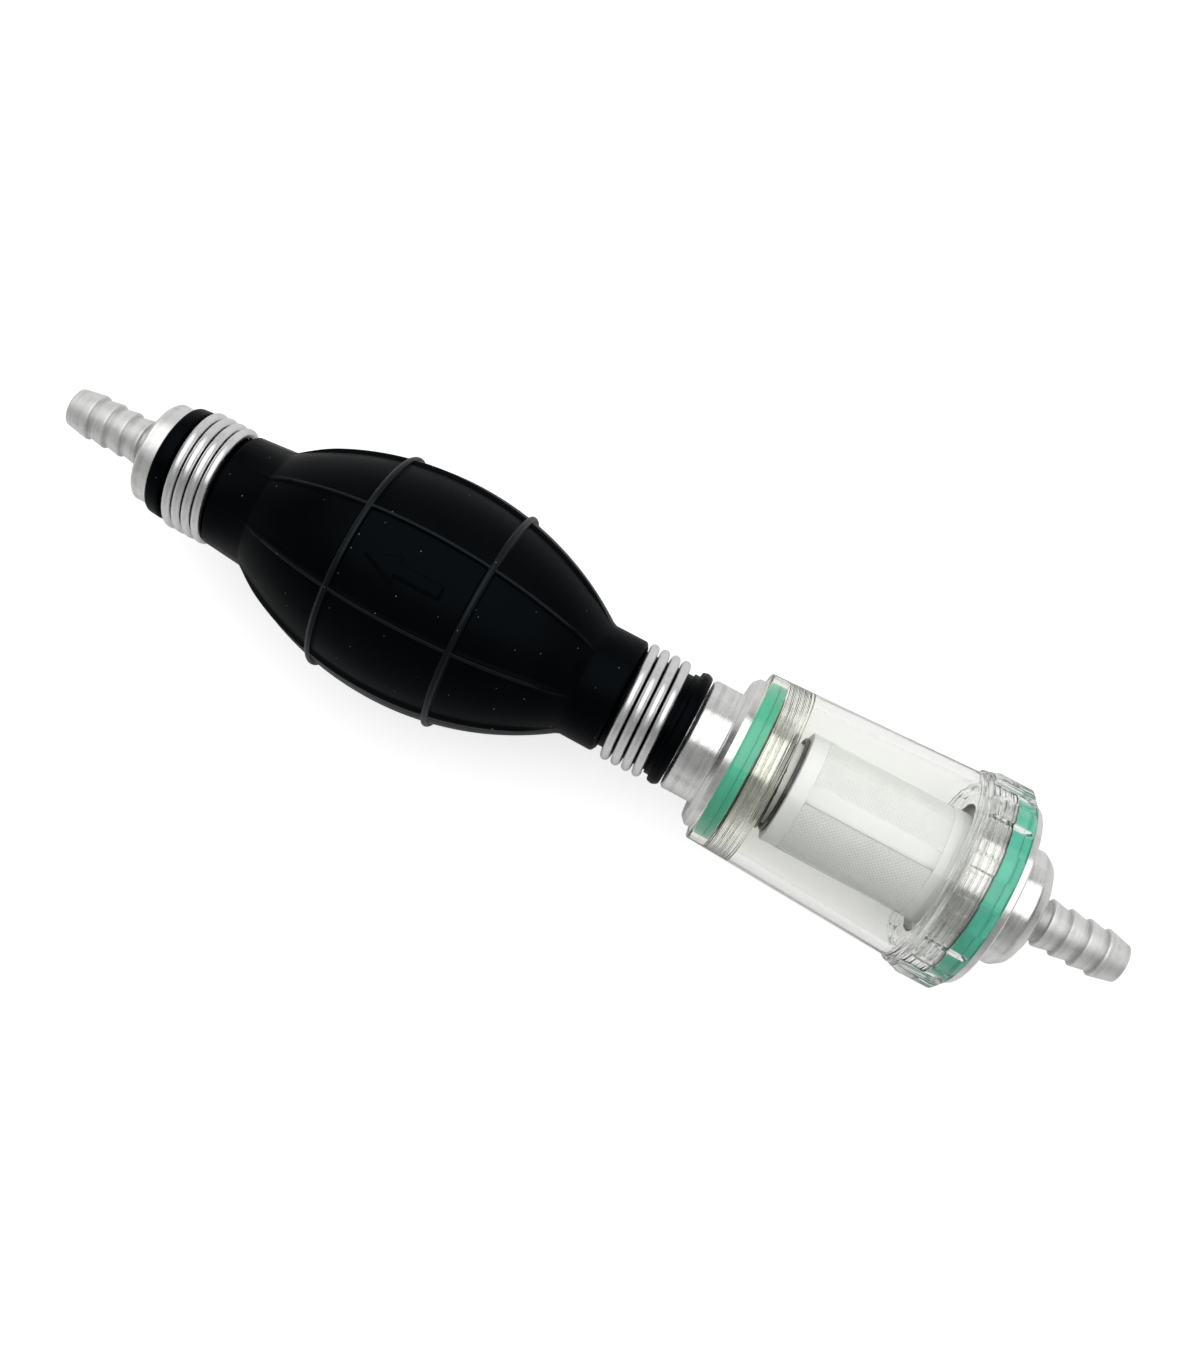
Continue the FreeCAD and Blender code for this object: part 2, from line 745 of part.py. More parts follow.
def gasket(label, start, end, inner_radius, outer_radius):
    """A green rubber ring with slightly rounded outer edges."""
    edge = d.gasket_chamfer
    return turned_body(label, [
        (start, inner_radius), (start, outer_radius - edge), (start + edge, outer_radius),
        (end - edge, outer_radius), (end, outer_radius - edge), (end, inner_radius),
    ])


def filter_bowl():
    """The clear tapered bowl with a beaded collar and its ring of grip pads."""
    left_bore = d.adapter_crest_radius + d.thread_clearance
    right_bore = d.cap_crest_radius + d.thread_clearance
    left_recess = d.adapter_gasket_radius + d.gasket_clearance
    right_recess = d.cap_gasket_radius + d.gasket_clearance
    body = turned_body("filter_bowl", [
        (d.bowl_start, left_recess),
        (d.bowl_start, d.bowl_start_radius - d.chamfer),
        (d.bowl_start + d.chamfer, d.bowl_start_radius),
        (d.collar_start, d.bowl_end_radius),
        (d.collar_start, d.collar_bead_radius - d.fine_chamfer),
        (d.collar_start + d.fine_chamfer, d.collar_bead_radius),
        (d.pad_start - d.fine_chamfer, d.collar_bead_radius),
        (d.pad_start, d.collar_radius),
        (d.cap_gasket_end, d.collar_radius),
        (d.cap_gasket_end, right_recess),
        (d.cap_gasket_start, right_recess),
        (d.cap_gasket_start, right_bore),
        (d.collar_start - d.collar_bore_lead, right_bore),
        (d.bowl_inner_start, d.bowl_inner_radius),
        (d.bowl_inner_start, left_bore),
        (d.adapter_gasket_end, left_bore),
        (d.adapter_gasket_end, left_recess),
    ])
    pad_sketch = new_sketch(body, "pad_outline", angle=DRIVING["pad_angle"])
    draw_outline(pad_sketch, [
        (d.pad_start - d.pad_lead, d.collar_radius - d.pad_foot_depth),
        (d.pad_start - d.pad_lead, d.pad_radius - d.pad_lead_drop),
        (d.pad_start + d.pad_crown_inset, d.pad_radius),
        (d.pad_end - d.pad_chamfer, d.pad_radius),
        (d.pad_end, d.pad_radius - d.pad_chamfer),
        (d.pad_end, d.collar_radius - d.pad_foot_depth),
    ])
    pad = turn(body, "pad", pad_sketch, d.pad_width_angle)
    repeat_round(body, "pads", [pad], d.pad_count)
    return body


def filter_frame():
    """White moulded frame of the strainer: spigot, shoulder ring, window bars and foot ring."""
    groove_end = d.seal_groove_start + d.seal_groove_width
    body = turned_body("filter_frame", [
        (d.spigot_start, d.spigot_inner_radius),
        (d.spigot_start, d.spigot_radius - d.wide_chamfer),
        (d.spigot_start + d.wide_chamfer, d.spigot_radius),
        (d.seal_groove_start, d.spigot_radius),
        (d.seal_groove_start, d.seal_groove_radius),
        (groove_end, d.seal_groove_radius),
        (groove_end, d.spigot_radius),
        (d.element_start, d.spigot_radius),
        (d.element_start, d.element_radius - d.fine_chamfer),
        (d.element_start + d.fine_chamfer, d.element_radius),
        (d.element_ring_end, d.element_radius),
        (d.element_ring_end, d.mesh_radius),
        (d.mesh_start, d.mesh_radius),
        (d.mesh_start, d.spigot_inner_radius),
    ])
    bar_sketch = new_sketch(body, "bar_outline", angle=DRIVING["bar_angle"])
    draw_outline(bar_sketch, [
        (d.element_ring_end - d.bar_overlap, d.mesh_radius),
        (d.element_ring_end - d.bar_overlap, d.element_radius),
        (d.plug_start, d.element_radius),
        (d.plug_start, d.mesh_radius),
    ])
    bar = turn(body, "bar", bar_sketch, d.bar_width_angle)
    repeat_round(body, "bars", [bar], d.bar_count)
    foot_sketch = new_sketch(body, "foot_ring_outline")
    draw_outline(foot_sketch, [
        (d.element_foot_ring_start, d.mesh_radius),
        (d.element_foot_ring_start, d.element_radius),
        (d.plug_start, d.element_radius),
        (d.plug_start, d.mesh_radius),
    ])
    turn(body, "foot_ring", foot_sketch)
    return body


def filter_mesh():
    """The woven strainer sleeve, held inside the frame."""
    inner = d.mesh_radius - d.mesh_thickness
    return turned_body("filter_mesh", [
        (d.mesh_start, inner), (d.mesh_start, d.mesh_radius),
        (d.plug_start, d.mesh_radius), (d.plug_start, inner),
    ])


def filter_end_plug():
    """The closed end of the strainer, with feet that keep a way in for the fuel."""
    nose_radius = d.mesh_radius - d.mesh_thickness
    nose_start = d.plug_start - d.plug_nose_length
    body = turned_body("filter_end_plug", [
        (nose_start, 0), (nose_start, nose_radius), (d.plug_start, nose_radius),
        (d.plug_start, d.element_radius), (d.plug_end - d.chamfer, d.element_radius),
        (d.plug_end, d.element_radius - d.chamfer), (d.plug_end, 0),
    ])
    foot_sketch = new_sketch(body, "plug_foot_outline", angle=DRIVING["foot_angle"])
    foot_start = d.plug_end - d.foot_overlap
    draw_outline(foot_sketch, [
        (foot_start, d.foot_inner_radius), (foot_start, d.foot_outer_radius),
        (d.cap_pocket_end, d.foot_outer_radius), (d.cap_pocket_end, d.foot_inner_radius),
    ])
    foot = body.newObject("PartDesign::Pad", "plug_foot")
    foot.Profile = foot_sketch
    foot.Midplane = True
    foot.Length = d.foot_width.value
    foot.setExpression("Length", d.foot_width.text)
    repeat_round(body, "plug_feet", [foot], d.foot_count)
    return body


def spigot_seal():
    """The O-ring between the strainer's spigot and the adapter's bore."""
    body = new_body("spigot_seal")
    section = new_sketch(body, "spigot_seal_section")
    draw_circles(section, [
        (d.seal_groove_start + d.seal_groove_width * 0.5, d.seal_groove_radius + d.spigot_seal_wire,
         d.spigot_seal_wire),
    ])
    turn(body, "spigot_seal_turned", section)
    return body


def end_cap():
    """Aluminium end cap: thread, pocket for the strainer's feet, flange, boss and inlet barb."""
    barb = barb_corners(d.tip_to_centre, d.inlet_barb_pitch, d.inlet_barb_crest_radius,
                        d.inlet_barb_valley_radius, -1)
    corners = [
        (d.cap_start, d.cap_pocket_radius),
        (d.cap_start, d.cap_root_radius - d.chamfer),
        (d.cap_start + d.chamfer, d.cap_root_radius),
        (d.cap_gasket_start, d.cap_root_radius),
        (d.cap_gasket_start, d.cap_neck_radius),
        (d.cap_gasket_end, d.cap_neck_radius),
        (d.cap_gasket_end, d.cap_flange_radius),
        (d.cap_flange_end - d.fine_chamfer, d.cap_flange_radius),
        (d.cap_flange_end, d.cap_flange_radius - d.fine_chamfer),
        (d.cap_flange_end, d.boss_radius),
        (d.boss_round_start, d.boss_radius, d.boss_round_radius),
        (d.boss_end, d.boss_end_radius),
        (d.boss_end, d.inlet_barb_valley_radius),
    ]
    corners += reversed(barb)
    corners += [
        (d.tip_to_centre, d.flow_radius),
        (d.cap_pocket_end, d.flow_radius),
        (d.cap_pocket_end, d.cap_pocket_radius),
    ]
    body = turned_body("end_cap", corners)
    male_thread(body, "cap_thread", d.cap_start + d.cap_thread_inset, d.cap_root_radius,
                d.cap_crest_radius)
    return body


# ---------------------------------------------------------------------------- assembly

NODES = [
    "outlet_fitting", "outlet_wire_clamp", "rubber_bulb", "inlet_wire_clamp",
    "outlet_valve_seat", "outlet_valve_seal", "outlet_valve_poppet", "outlet_valve_spring",
    "outlet_valve_retainer",
    "inlet_valve_seat", "inlet_valve_seal", "inlet_valve_poppet", "inlet_valve_spring",
    "inlet_valve_retainer",
    "filter_adapter", "adapter_gasket", "filter_bowl", "filter_spring", "filter_frame",
    "filter_mesh", "filter_end_plug", "spigot_seal", "cap_gasket", "end_cap",
]


def build():
    outlet_fitting()
    wire_clamp("outlet_wire_clamp", d.outlet_clamp_first, d.outlet_clamp_pitch)
    rubber_bulb()
    wire_clamp("inlet_wire_clamp", d.inlet_clamp_first, d.inlet_clamp_pitch)
    check_valve("outlet", d.rubber_start + d.stem_length)
    check_valve("inlet", inlet_valve_face())
    filter_adapter()
    gasket("adapter_gasket", d.adapter_flange_end, d.adapter_gasket_end,
           d.adapter_crest_radius + d.gasket_clearance, d.adapter_gasket_radius)
    filter_bowl()
    coil("filter_spring", d.strainer_spring_first, d.strainer_spring_radius, d.strainer_wire_radius,
         d.strainer_spring_pitch, d.strainer_spring_turns, DRIVING["strainer_spring_angle"])
    filter_frame()
    filter_mesh()
    filter_end_plug()
    spigot_seal()
    gasket("cap_gasket", d.cap_gasket_start, d.cap_gasket_end,
           d.cap_crest_radius + d.gasket_clearance, d.cap_gasket_radius)
    end_cap()
    doc.recompute()


def node(label):
    return doc.getObjectsByLabel(label)[0]


def check_and_export():
    """Stop if anything failed; otherwise write one STEP file per sub-part."""
    for thing in doc.Objects:
        if "Invalid" in thing.State or "Error" in thing.State:
            raise RuntimeError(f"{thing.Label}: {thing.State}")
    for label in NODES:
        shape = node(label).Shape
        if shape.isNull() or not shape.isValid() or not shape.Solids:
            raise RuntimeError(f"{label} has no valid solid")
    os.makedirs("parts", exist_ok=True)
    for label in NODES:
        shape = node(label).Shape
        shape.exportStep(f"parts/{label}.step")
        box = shape.BoundBox
        print(f"{label:24s} {len(shape.Solids)} solid  {shape.Volume:10.1f} mm3"
              f"  x {box.XMin:8.2f} {box.XMax:8.2f}  r {box.ZMax:6.2f}")


build()
check_and_export()
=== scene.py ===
"""Looks for the siphon bulb pump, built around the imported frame. Sizes below are in millimetres."""
import math

import bpy
import numpy as np
from mathutils import Matrix, Vector


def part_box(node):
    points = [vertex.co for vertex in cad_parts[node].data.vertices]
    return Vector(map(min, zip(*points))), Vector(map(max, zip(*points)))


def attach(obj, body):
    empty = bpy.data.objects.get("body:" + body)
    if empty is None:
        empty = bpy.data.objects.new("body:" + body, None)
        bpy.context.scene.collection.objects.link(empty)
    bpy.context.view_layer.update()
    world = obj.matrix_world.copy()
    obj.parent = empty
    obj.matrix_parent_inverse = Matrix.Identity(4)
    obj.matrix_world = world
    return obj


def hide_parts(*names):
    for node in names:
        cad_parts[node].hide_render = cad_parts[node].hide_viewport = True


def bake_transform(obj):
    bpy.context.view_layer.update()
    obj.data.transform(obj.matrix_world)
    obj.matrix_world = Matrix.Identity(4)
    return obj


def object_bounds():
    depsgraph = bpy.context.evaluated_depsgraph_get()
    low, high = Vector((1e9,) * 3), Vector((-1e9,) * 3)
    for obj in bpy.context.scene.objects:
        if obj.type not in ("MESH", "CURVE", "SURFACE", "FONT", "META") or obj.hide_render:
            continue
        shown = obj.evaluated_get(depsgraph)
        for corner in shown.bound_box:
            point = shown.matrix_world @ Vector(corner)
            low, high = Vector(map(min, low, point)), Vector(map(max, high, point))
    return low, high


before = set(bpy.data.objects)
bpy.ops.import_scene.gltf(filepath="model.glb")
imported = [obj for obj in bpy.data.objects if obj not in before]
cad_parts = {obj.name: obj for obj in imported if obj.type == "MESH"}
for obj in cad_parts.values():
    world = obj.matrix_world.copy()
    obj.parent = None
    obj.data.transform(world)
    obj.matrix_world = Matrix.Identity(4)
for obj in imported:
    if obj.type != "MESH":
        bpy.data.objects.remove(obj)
cad_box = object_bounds()

MM = 0.001


def span(node):
    """Where a CAD node starts and ends along X, in millimetres."""
    low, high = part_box(node)
    return low.x / MM, high.x / MM


def reach(node):
    """A round CAD node's outer radius, in millimetres."""
    low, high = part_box(node)
    return (high.y - low.y) / 2 / MM


# ------------------------------------------------------------------ sizes, from the frame's own places

TIP_OUT = span("outlet_fitting")[0]
RUBBER_START, RUBBER_END = span("rubber_bulb")
ADAPTER_START, ADAPTER_END = span("filter_adapter")
GASKET_START, GASKET_END = span("adapter_gasket")
BOWL_START, BOWL_END = span("filter_bowl")
CAP_GASKET_START, CAP_GASKET_END = span("cap_gasket")
CAP_START, TIP_IN = span("end_cap")
MESH_START, MESH_END = span("filter_mesh")
FRAME_START, FRAME_END = span("filter_frame")

BORE_RADIUS = 3.0
STEM_RADIUS = 7.6
VALVE_RADIUS = 6.5

BELLY_RADIUS = 24.7
BELLY_START = RUBBER_START + 21.7
BELLY_END = RUBBER_END - 23.0
NECK_RADIUS = 12.55
NECK_BORE = 8.1
BELLY_WALL = 3.2
CLAMP_GROOVE_RADIUS = 10.85
RIB_STEP = 45.0
RIB_ANGLE = 20.0
RIB_HEIGHT = 0.7
RIB_HALF_WIDTH = 0.36
HOOPS = (BELLY_START + 23.6, BELLY_START + 50.5)
HOOP_HEIGHT = 0.95
HOOP_HALF_WIDTH = 0.85
ARROW_TIP = RUBBER_START + 49.45
ARROW_LENGTH = 16.7
ARROW_HEAD_LENGTH = 7.3
ARROW_HEAD_HALF = 2.95
ARROW_SHAFT_HALF = 1.4
ARROW_HEIGHT = 0.5
ARROW_ANGLE = -3.0

# distance from the middle at which both barbs turn dull, and at which the painted shade in their
# valleys ends
BARB_FOOT = 101.2
BARB_NOSE = 116.5
BARB_TEETH = 4
BARB_NOSE_LENGTH = 4.9
BARB_TIP_RADIUS = 4.15
OUTLET_PITCH, OUTLET_CREST, OUTLET_VALLEY = 3.87, 5.0, 4.45
INLET_PITCH, INLET_CREST, INLET_VALLEY = 4.17, 5.3, 4.65
VALLEY_DEEPER = 0.1

CLAMP_RADIUS = 12.0
CLAMP_WIRE = 1.0
CLAMP_TURNS = 3.55
CLAMP_ANGLE = -100
SPRING_RADIUS = 10.2
SPRING_WIRE = 0.45
SPRING_TURNS = 3.0
SPRING_OPEN_TURNS = 2.35
SPRING_ANGLE = -215
VALVE_SPRING_RADIUS = 2.3
VALVE_SPRING_WIRE = 0.22
VALVE_SPRING_TURNS = 4

SHOULDER = FRAME_START + 16.8
WINDOW_INNER = 11.6
WINDOW_OUTER = 12.3
BAR_COUNT = 4
BAR_ANGLE = -4

PAD_COUNT = 12
PAD_STEP = 360 / PAD_COUNT
PAD_HEIGHT = 1.45
PAD_ANGLE = 14.5
PAD_HALF_ANGLE = 7.5
COLLAR_START = BOWL_START + 47.0
LEFT_BORE = 16.05
RIGHT_BORE = 18.55
LEFT_ROOT, LEFT_CREST = 15.1, 15.9
RIGHT_ROOT, RIGHT_CREST = 17.6, 18.4
THREAD_PITCH = 1.25
FEMALE_DEPTH = 0.4
ROUND_STEPS = 192


# ------------------------------------------------------------------ mesh tools

def new_object(name, vertices, faces, material):
    """A mesh object from millimetre points."""
    mesh = bpy.data.meshes.new(name)
    points = np.asarray(vertices, float) * MM
    mesh.from_pydata(points.tolist(), [], faces)
    mesh.update()
    mesh.validate()
    mesh.polygons.foreach_set("use_smooth", [True] * len(mesh.polygons))
    piece = bpy.data.objects.new(name, mesh)
    bpy.context.scene.collection.objects.link(piece)
    mesh.materials.append(material)
    return piece


def face_weighted(piece):
    """Let the large faces lead the shading, so that small rounded corners stay crisp."""
    weighting = piece.modifiers.new("weighting", "WEIGHTED_NORMAL")
    weighting.weight = 80
    weighting.keep_sharp = False


def rounded(outline, radius=0.15, steps=3):
    """Round every corner of a closed outline of (x, r) points by about this radius."""
    points = [Vector(point[:2]) for point in outline]
    result = []
    count = len(points)
    for index, point in enumerate(points):
        before = points[index - 1] - point
        after = points[(index + 1) % count] - point
        own = outline[index][2] if len(outline[index]) > 2 else radius
        turn = math.pi - before.angle(after)
        if own == 0 or turn < math.radians(12):
            result.append(point)
            continue
        cut = min(own * math.tan(turn / 2), 0.42 * before.length, 0.42 * after.length)
        first = point + before.normalized() * cut
        last = point + after.normalized() * cut
        for step in range(steps + 1):
            share = step / steps
            along = first.lerp(point, share).lerp(point.lerp(last, share), share)
            result.append(along)
    return [(point.x, point.y) for point in result]


def divided(points, longest):
    """Add points on the long runs of a closed outline."""
    result = []
    for index, (x, r) in enumerate(points):
        next_x, next_r = points[(index + 1) % len(points)]
        parts = max(1, math.ceil(math.hypot(next_x - x, next_r - r) / longest))
        for part in range(parts):
            share = part / parts
            result.append((x + (next_x - x) * share, r + (next_r - r) * share))
    return result


def lathe(name, points, material, angles=None, raise_by=None):
    """Turn a closed outline about X. raise_by(x, r, angles) may add height around the turn."""
    if angles is None:
        angles = np.linspace(0, 2 * math.pi, ROUND_STEPS + 1)[:-1]
    points = np.array(points, float)
    x = np.repeat(points[:, 0][:, None], len(angles), 1)
    r = np.repeat(points[:, 1][:, None], len(angles), 1)
    turn = np.repeat(np.asarray(angles)[None, :], len(points), 0)
    if raise_by is not None:
        r = r + raise_by(x, r, turn)
    vertices = np.stack([x, -r * np.sin(turn), r * np.cos(turn)], -1).reshape(-1, 3)
    return new_object(name, vertices, grid_faces(len(points), len(angles), points), material)


def grid_faces(rows, columns, outline):
    """Quads of a grid that closes both ways, facing outwards from the outline's inside."""
    following = np.roll(outline, -1, 0)
    area = np.sum(outline[:, 0] * following[:, 1] - following[:, 0] * outline[:, 1])
    row = np.repeat(np.arange(rows)[:, None], columns, 1)
    column = np.repeat(np.arange(columns)[None, :], rows, 0)
    next_row = (row + 1) % rows
    next_column = (column + 1) % columns
    corners = [row * columns + column, next_row * columns + column,
               next_row * columns + next_column, row * columns + next_column]
    if area < 0:
        corners.reverse()
    return np.stack(corners, -1).reshape(-1, 4).tolist()


def arc_radius(half, rise):
    """The radius of an arc that rises by this much over this half length."""
    return (half * half + rise * rise) / (2 * rise)


def smoothstep(values, low, high):
    share = np.clip((values - low) / (high - low), 0, 1)
    return share * share * (3 - 2 * share)


def tube(name, centres, wire_radius, material, sides=12):
    """A round wire along a list of points, closed with domed ends."""
    centres = np.asarray(centres, float)
    tangents = np.gradient(centres, axis=0)
    tangents /= np.linalg.norm(tangents, axis=1)[:, None]
    axis = np.array([1.0, 0.0, 0.0])
    side = np.cross(tangents, axis)
    side /= np.linalg.norm(side, axis=1)[:, None]
    up = np.cross(side, tangents)
    dome = ((0.35, 0.75), (0.55, 0.35))  # how far past the end, and how wide, in wire radii
    rings = [(centres[0] - tangents[0] * wire_radius * past, wide, 0) for past, wide in dome[::-1]]
    rings += [(centre, 1.0, index) for index, centre in enumerate(centres)]
    last = len(centres) - 1
    rings += [(centres[-1] + tangents[-1] * wire_radius * past, wide, last) for past, wide in dome]
    turn = np.linspace(0, 2 * math.pi, sides + 1)[:-1]
    vertices = []
    for centre, scale, index in rings:
        for angle in turn:
            offset = side[index] * math.cos(angle) + up[index] * math.sin(angle)
            vertices.append(centre + offset * wire_radius * scale)
    faces = [list(range(sides))]
    for ring in range(len(rings) - 1):
        base = ring * sides
        for column in range(sides):
            following = (column + 1) % sides
            faces.append([base + column, base + sides + column,
                          base + sides + following, base + following])
    faces.append(list(range((len(rings) - 1) * sides, len(rings) * sides))[::-1])
    return new_object(name, vertices, faces, material)


def helix(start, radius, pitch, turns, start_angle, steps_per_turn=64):
    """Points on a right-hand helix about X; angles are measured from +Z."""
    count = int(turns * steps_per_turn) + 1
    turned = np.linspace(0, turns, count)
    angle = math.radians(start_angle) + turned * 2 * math.pi
    return np.stack([start + turned * pitch, -radius * np.sin(angle), radius * np.cos(angle)], -1)


# ------------------------------------------------------------------ material tools

class Nodes:
    """A short way to write one material's node tree."""

    def __init__(self, name):
        self.material = bpy.data.materials.new(name)
        self.material.use_nodes = True
        self.tree = self.material.node_tree
        self.tree.nodes.clear()
        self.output = self.tree.nodes.new("ShaderNodeOutputMaterial")
        self.shader = self.tree.nodes.new("ShaderNodeBsdfPrincipled")
        self.link(self.shader.outputs[0], self.output.inputs["Surface"])
        self.place = self.tree.nodes.new("ShaderNodeTexCoord").outputs["Object"]

    def link(self, source, target):
        self.tree.links.new(source, target)

    def math(self, operation, first, second=None, clamp=False):
        node = self.tree.nodes.new("ShaderNodeMath")
        node.operation = operation
        node.use_clamp = clamp
        for socket, value in zip(node.inputs, (first, second)):
            if value is None:
                continue
            if isinstance(value, (int, float)):
                socket.default_value = value
            else:
                self.link(value, socket)
        return node.outputs[0]

    def noise(self, scale, detail=4.0, roughness=0.55, stretch=None):
        node = self.tree.nodes.new("ShaderNodeTexNoise")
        node.inputs["Scale"].default_value = scale
        node.inputs["Detail"].default_value = detail
        node.inputs["Roughness"].default_value = roughness
        source = self.place
        if stretch:
            mapping = self.tree.nodes.new("ShaderNodeMapping")
            mapping.inputs["Scale"].default_value = stretch
            self.link(source, mapping.inputs["Vector"])
            source = mapping.outputs[0]
        self.link(source, node.inputs["Vector"])
        return node.outputs["Fac"]

    def spots(self, scale, size):
        """Sparse round specks: 1 inside a speck."""
        node = self.tree.nodes.new("ShaderNodeTexVoronoi")
        node.inputs["Scale"].default_value = scale
        self.link(self.place, node.inputs["Vector"])
        near = self.math("LESS_THAN", node.outputs["Distance"], size)
        return near, node.outputs["Color"]

    def ramp(self, source, stops):
        node = self.tree.nodes.new("ShaderNodeValToRGB")
        ramp = node.color_ramp
        while len(ramp.elements) < len(stops):
            ramp.elements.new(0.5)
        for element, (position, colour) in zip(ramp.elements, stops):
            element.position = position
            element.color = (*colour, 1.0)
        self.link(source, node.inputs["Fac"])
        return node.outputs["Color"]

    def range(self, source, low, high, to_low, to_high):
        node = self.tree.nodes.new("ShaderNodeMapRange")
        ends = (("From Min", low), ("From Max", high), ("To Min", to_low), ("To Max", to_high))
        for name, value in ends:
            node.inputs[name].default_value = value
        self.link(source, node.inputs["Value"])
        return node.outputs["Result"]

    def mix(self, share, first, second):
        """A colour from first to second; first is a socket or a colour, second a colour."""
        node = self.tree.nodes.new("ShaderNodeMix")
        node.data_type = "RGBA"
        self.link(share, node.inputs["Factor"])
        if isinstance(first, tuple):
            node.inputs["A"].default_value = (*first, 1.0)
        else:
            self.link(first, node.inputs["A"])
        node.inputs["B"].default_value = (*second, 1.0)
        return node.outputs["Result"]

    def bump(self, source, strength, distance, base=None):
        node = self.tree.nodes.new("ShaderNodeBump")
        node.inputs["Strength"].default_value = strength
        node.inputs["Distance"].default_value = distance
        self.link(source, node.inputs["Height"])
        if base is not None:
            self.link(base, node.inputs["Normal"])
        return node.outputs["Normal"]

    def set(self, name, value):
        if isinstance(value, (int, float, tuple)):
            self.shader.inputs[name].default_value = value
        else:
            self.link(value, self.shader.inputs[name])

    def along_and_radius(self):
        """A point's place along X and its distance from X, in metres."""
        parts = self.tree.nodes.new("ShaderNodeSeparateXYZ")
        self.link(self.place, parts.inputs[0])
        across = self.math("MULTIPLY", parts.outputs[1], parts.outputs[1])
        down = self.math("MULTIPLY", parts.outputs[2], parts.outputs[2])
        return parts.outputs[0], self.math("SQRT", self.math("ADD", across, down))

    def turning(self, scale):
        """Fine rings about X, on cylinders and on end faces alike."""
        along = self.math("ADD", *self.along_and_radius())
        node = self.tree.nodes.new("ShaderNodeTexNoise")
        node.noise_dimensions = "1D"
        node.inputs["Scale"].default_value = scale
        node.inputs["Detail"].default_value = 3.0
        self.link(along, node.inputs["W"])
        return node.outputs["Fac"]


def aluminium(name, roughest, smoothest, valley_radius, valley_shade):
    """Turned aluminium with fine tool rings and dull stains, and a dull barb with painted shade in its
    valleys.
    """
    n = Nodes(name)
    rings = n.turning(4200.0)
    blotches = n.noise(420.0, 4.0)
    stains = n.math("MULTIPLY", n.math("ADD", n.turning(900.0), blotches), 0.5)
    unshaded_tone = n.ramp(stains, [
        (0.34, (0.74, 0.74, 0.73)), (0.5, (0.93, 0.93, 0.92)), (0.7, (0.98, 0.98, 0.97))])
    along, radius = n.along_and_radius()
    from_middle = n.math("ABSOLUTE", along)
    on_barb = n.range(from_middle, BARB_FOOT * MM, (BARB_FOOT + 0.3) * MM, 0.0, 1.0)
    # painted shade: below valley_radius, from the barb's foot to its nose, the valleys are darkened
    # towards olive grey
    before_nose = n.range(from_middle, BARB_NOSE * MM, (BARB_NOSE + 0.2) * MM, valley_shade, 0.0)
    in_valley = n.range(radius, valley_radius * MM, (valley_radius + 0.3) * MM, 1.0, 0.0)
    depth = n.math("MULTIPLY", before_nose, in_valley)
    n.set("Metallic", 1.0)
    # the olive grey mixed in here is painted shade in the barb's valleys
    n.set("Base Color", n.mix(n.math("MULTIPLY", on_barb, depth), unshaded_tone, (0.16, 0.165, 0.13)))
    mixed = n.math("MULTIPLY", n.math("ADD", rings, blotches), 0.5)
    turned = n.range(mixed, 0.35, 0.65, smoothest, roughest)
    n.set("Roughness", n.math("MAXIMUM", turned, n.math("MULTIPLY", on_barb, 0.5)))
    n.set("Normal", n.bump(rings, 0.45, 0.00004))
    return n.material


def zinc_wire():
    """Bright plated wire."""
    n = Nodes("zinc_wire")
    blotches = n.noise(420.0, 4.0)
    n.set("Metallic", 1.0)
    n.set("Base Color", n.ramp(blotches, [(0.3, (0.84, 0.84, 0.84)), (0.7, (0.95, 0.95, 0.95))]))
    n.set("Roughness", n.range(blotches, 0.3, 0.7, 0.24, 0.36))
    n.set("Normal", n.bump(blotches, 0.25, 0.00005))
    return n.material


def black_rubber():
    """Nearly black rubber with a few dust specks; its ribs and hoops shine more than the belly."""
    n = Nodes("black_rubber")
    fine = n.noise(2600.0, 5.0, 0.6)
    broad = n.noise(70.0, 4.0)
    near, colour = n.spots(900.0, 0.12)
    parts = n.tree.nodes.new("ShaderNodeSeparateColor")
    n.link(colour, parts.inputs[0])
    rare = n.math("GREATER_THAN", parts.outputs[0], 0.93)
    dust = n.math("MULTIPLY", near, rare)
    mottled = n.ramp(broad, [(0.35, (0.0005, 0.0007, 0.001)), (0.7, (0.0012, 0.0015, 0.002))])
    n.set("Base Color", n.mix(dust, mottled, (0.16, 0.16, 0.155)))
    n.set("Roughness", n.range(broad, 0.3, 0.7, 0.28, 0.42))
    n.set("Specular IOR Level", n.range(belly_ridges(n), 0.00055, 0.0007, 0.045, 0.26))
    n.set("Specular Tint", (0.66, 0.86, 1.0, 1.0))
    rough_skin = n.bump(broad, 0.25, 0.00025)
    n.set("Normal", n.bump(fine, 0.3, 0.00006, rough_skin))
    return n.material


def belly_ridges(n):
    """How far a point stands above the belly's own curve, in metres: the ribs and hoops shine more."""
    bend = arc_radius((BELLY_END - BELLY_START) / 2, BELLY_RADIUS - NECK_RADIUS)
    along, radius = n.along_and_radius()
    off = n.math("SUBTRACT", along, (BELLY_START + BELLY_END) / 2 * MM)
    under = n.math("SUBTRACT", (bend * MM) ** 2, n.math("MULTIPLY", off, off))
    belly = n.math("SUBTRACT", n.math("SQRT", under), (bend - BELLY_RADIUS) * MM)
    floor = n.math("MAXIMUM", belly, (NECK_RADIUS + 0.5) * MM)
    return n.math("SUBTRACT", radius, floor)


def green_rubber():
    n = Nodes("green_rubber")
    broad = n.noise(130.0, 4.0, stretch=(1.0, 0.4, 0.4))
    fine = n.noise(1500.0, 3.0)
    n.set("Base Color", n.ramp(broad, [(0.3, (0.05, 0.44, 0.30)), (0.7, (0.10, 0.60, 0.43))]))
    n.set("Roughness", n.range(fine, 0.3, 0.7, 0.4, 0.55))
    n.set("Normal", n.bump(fine, 0.2, 0.00005))
    return n.material


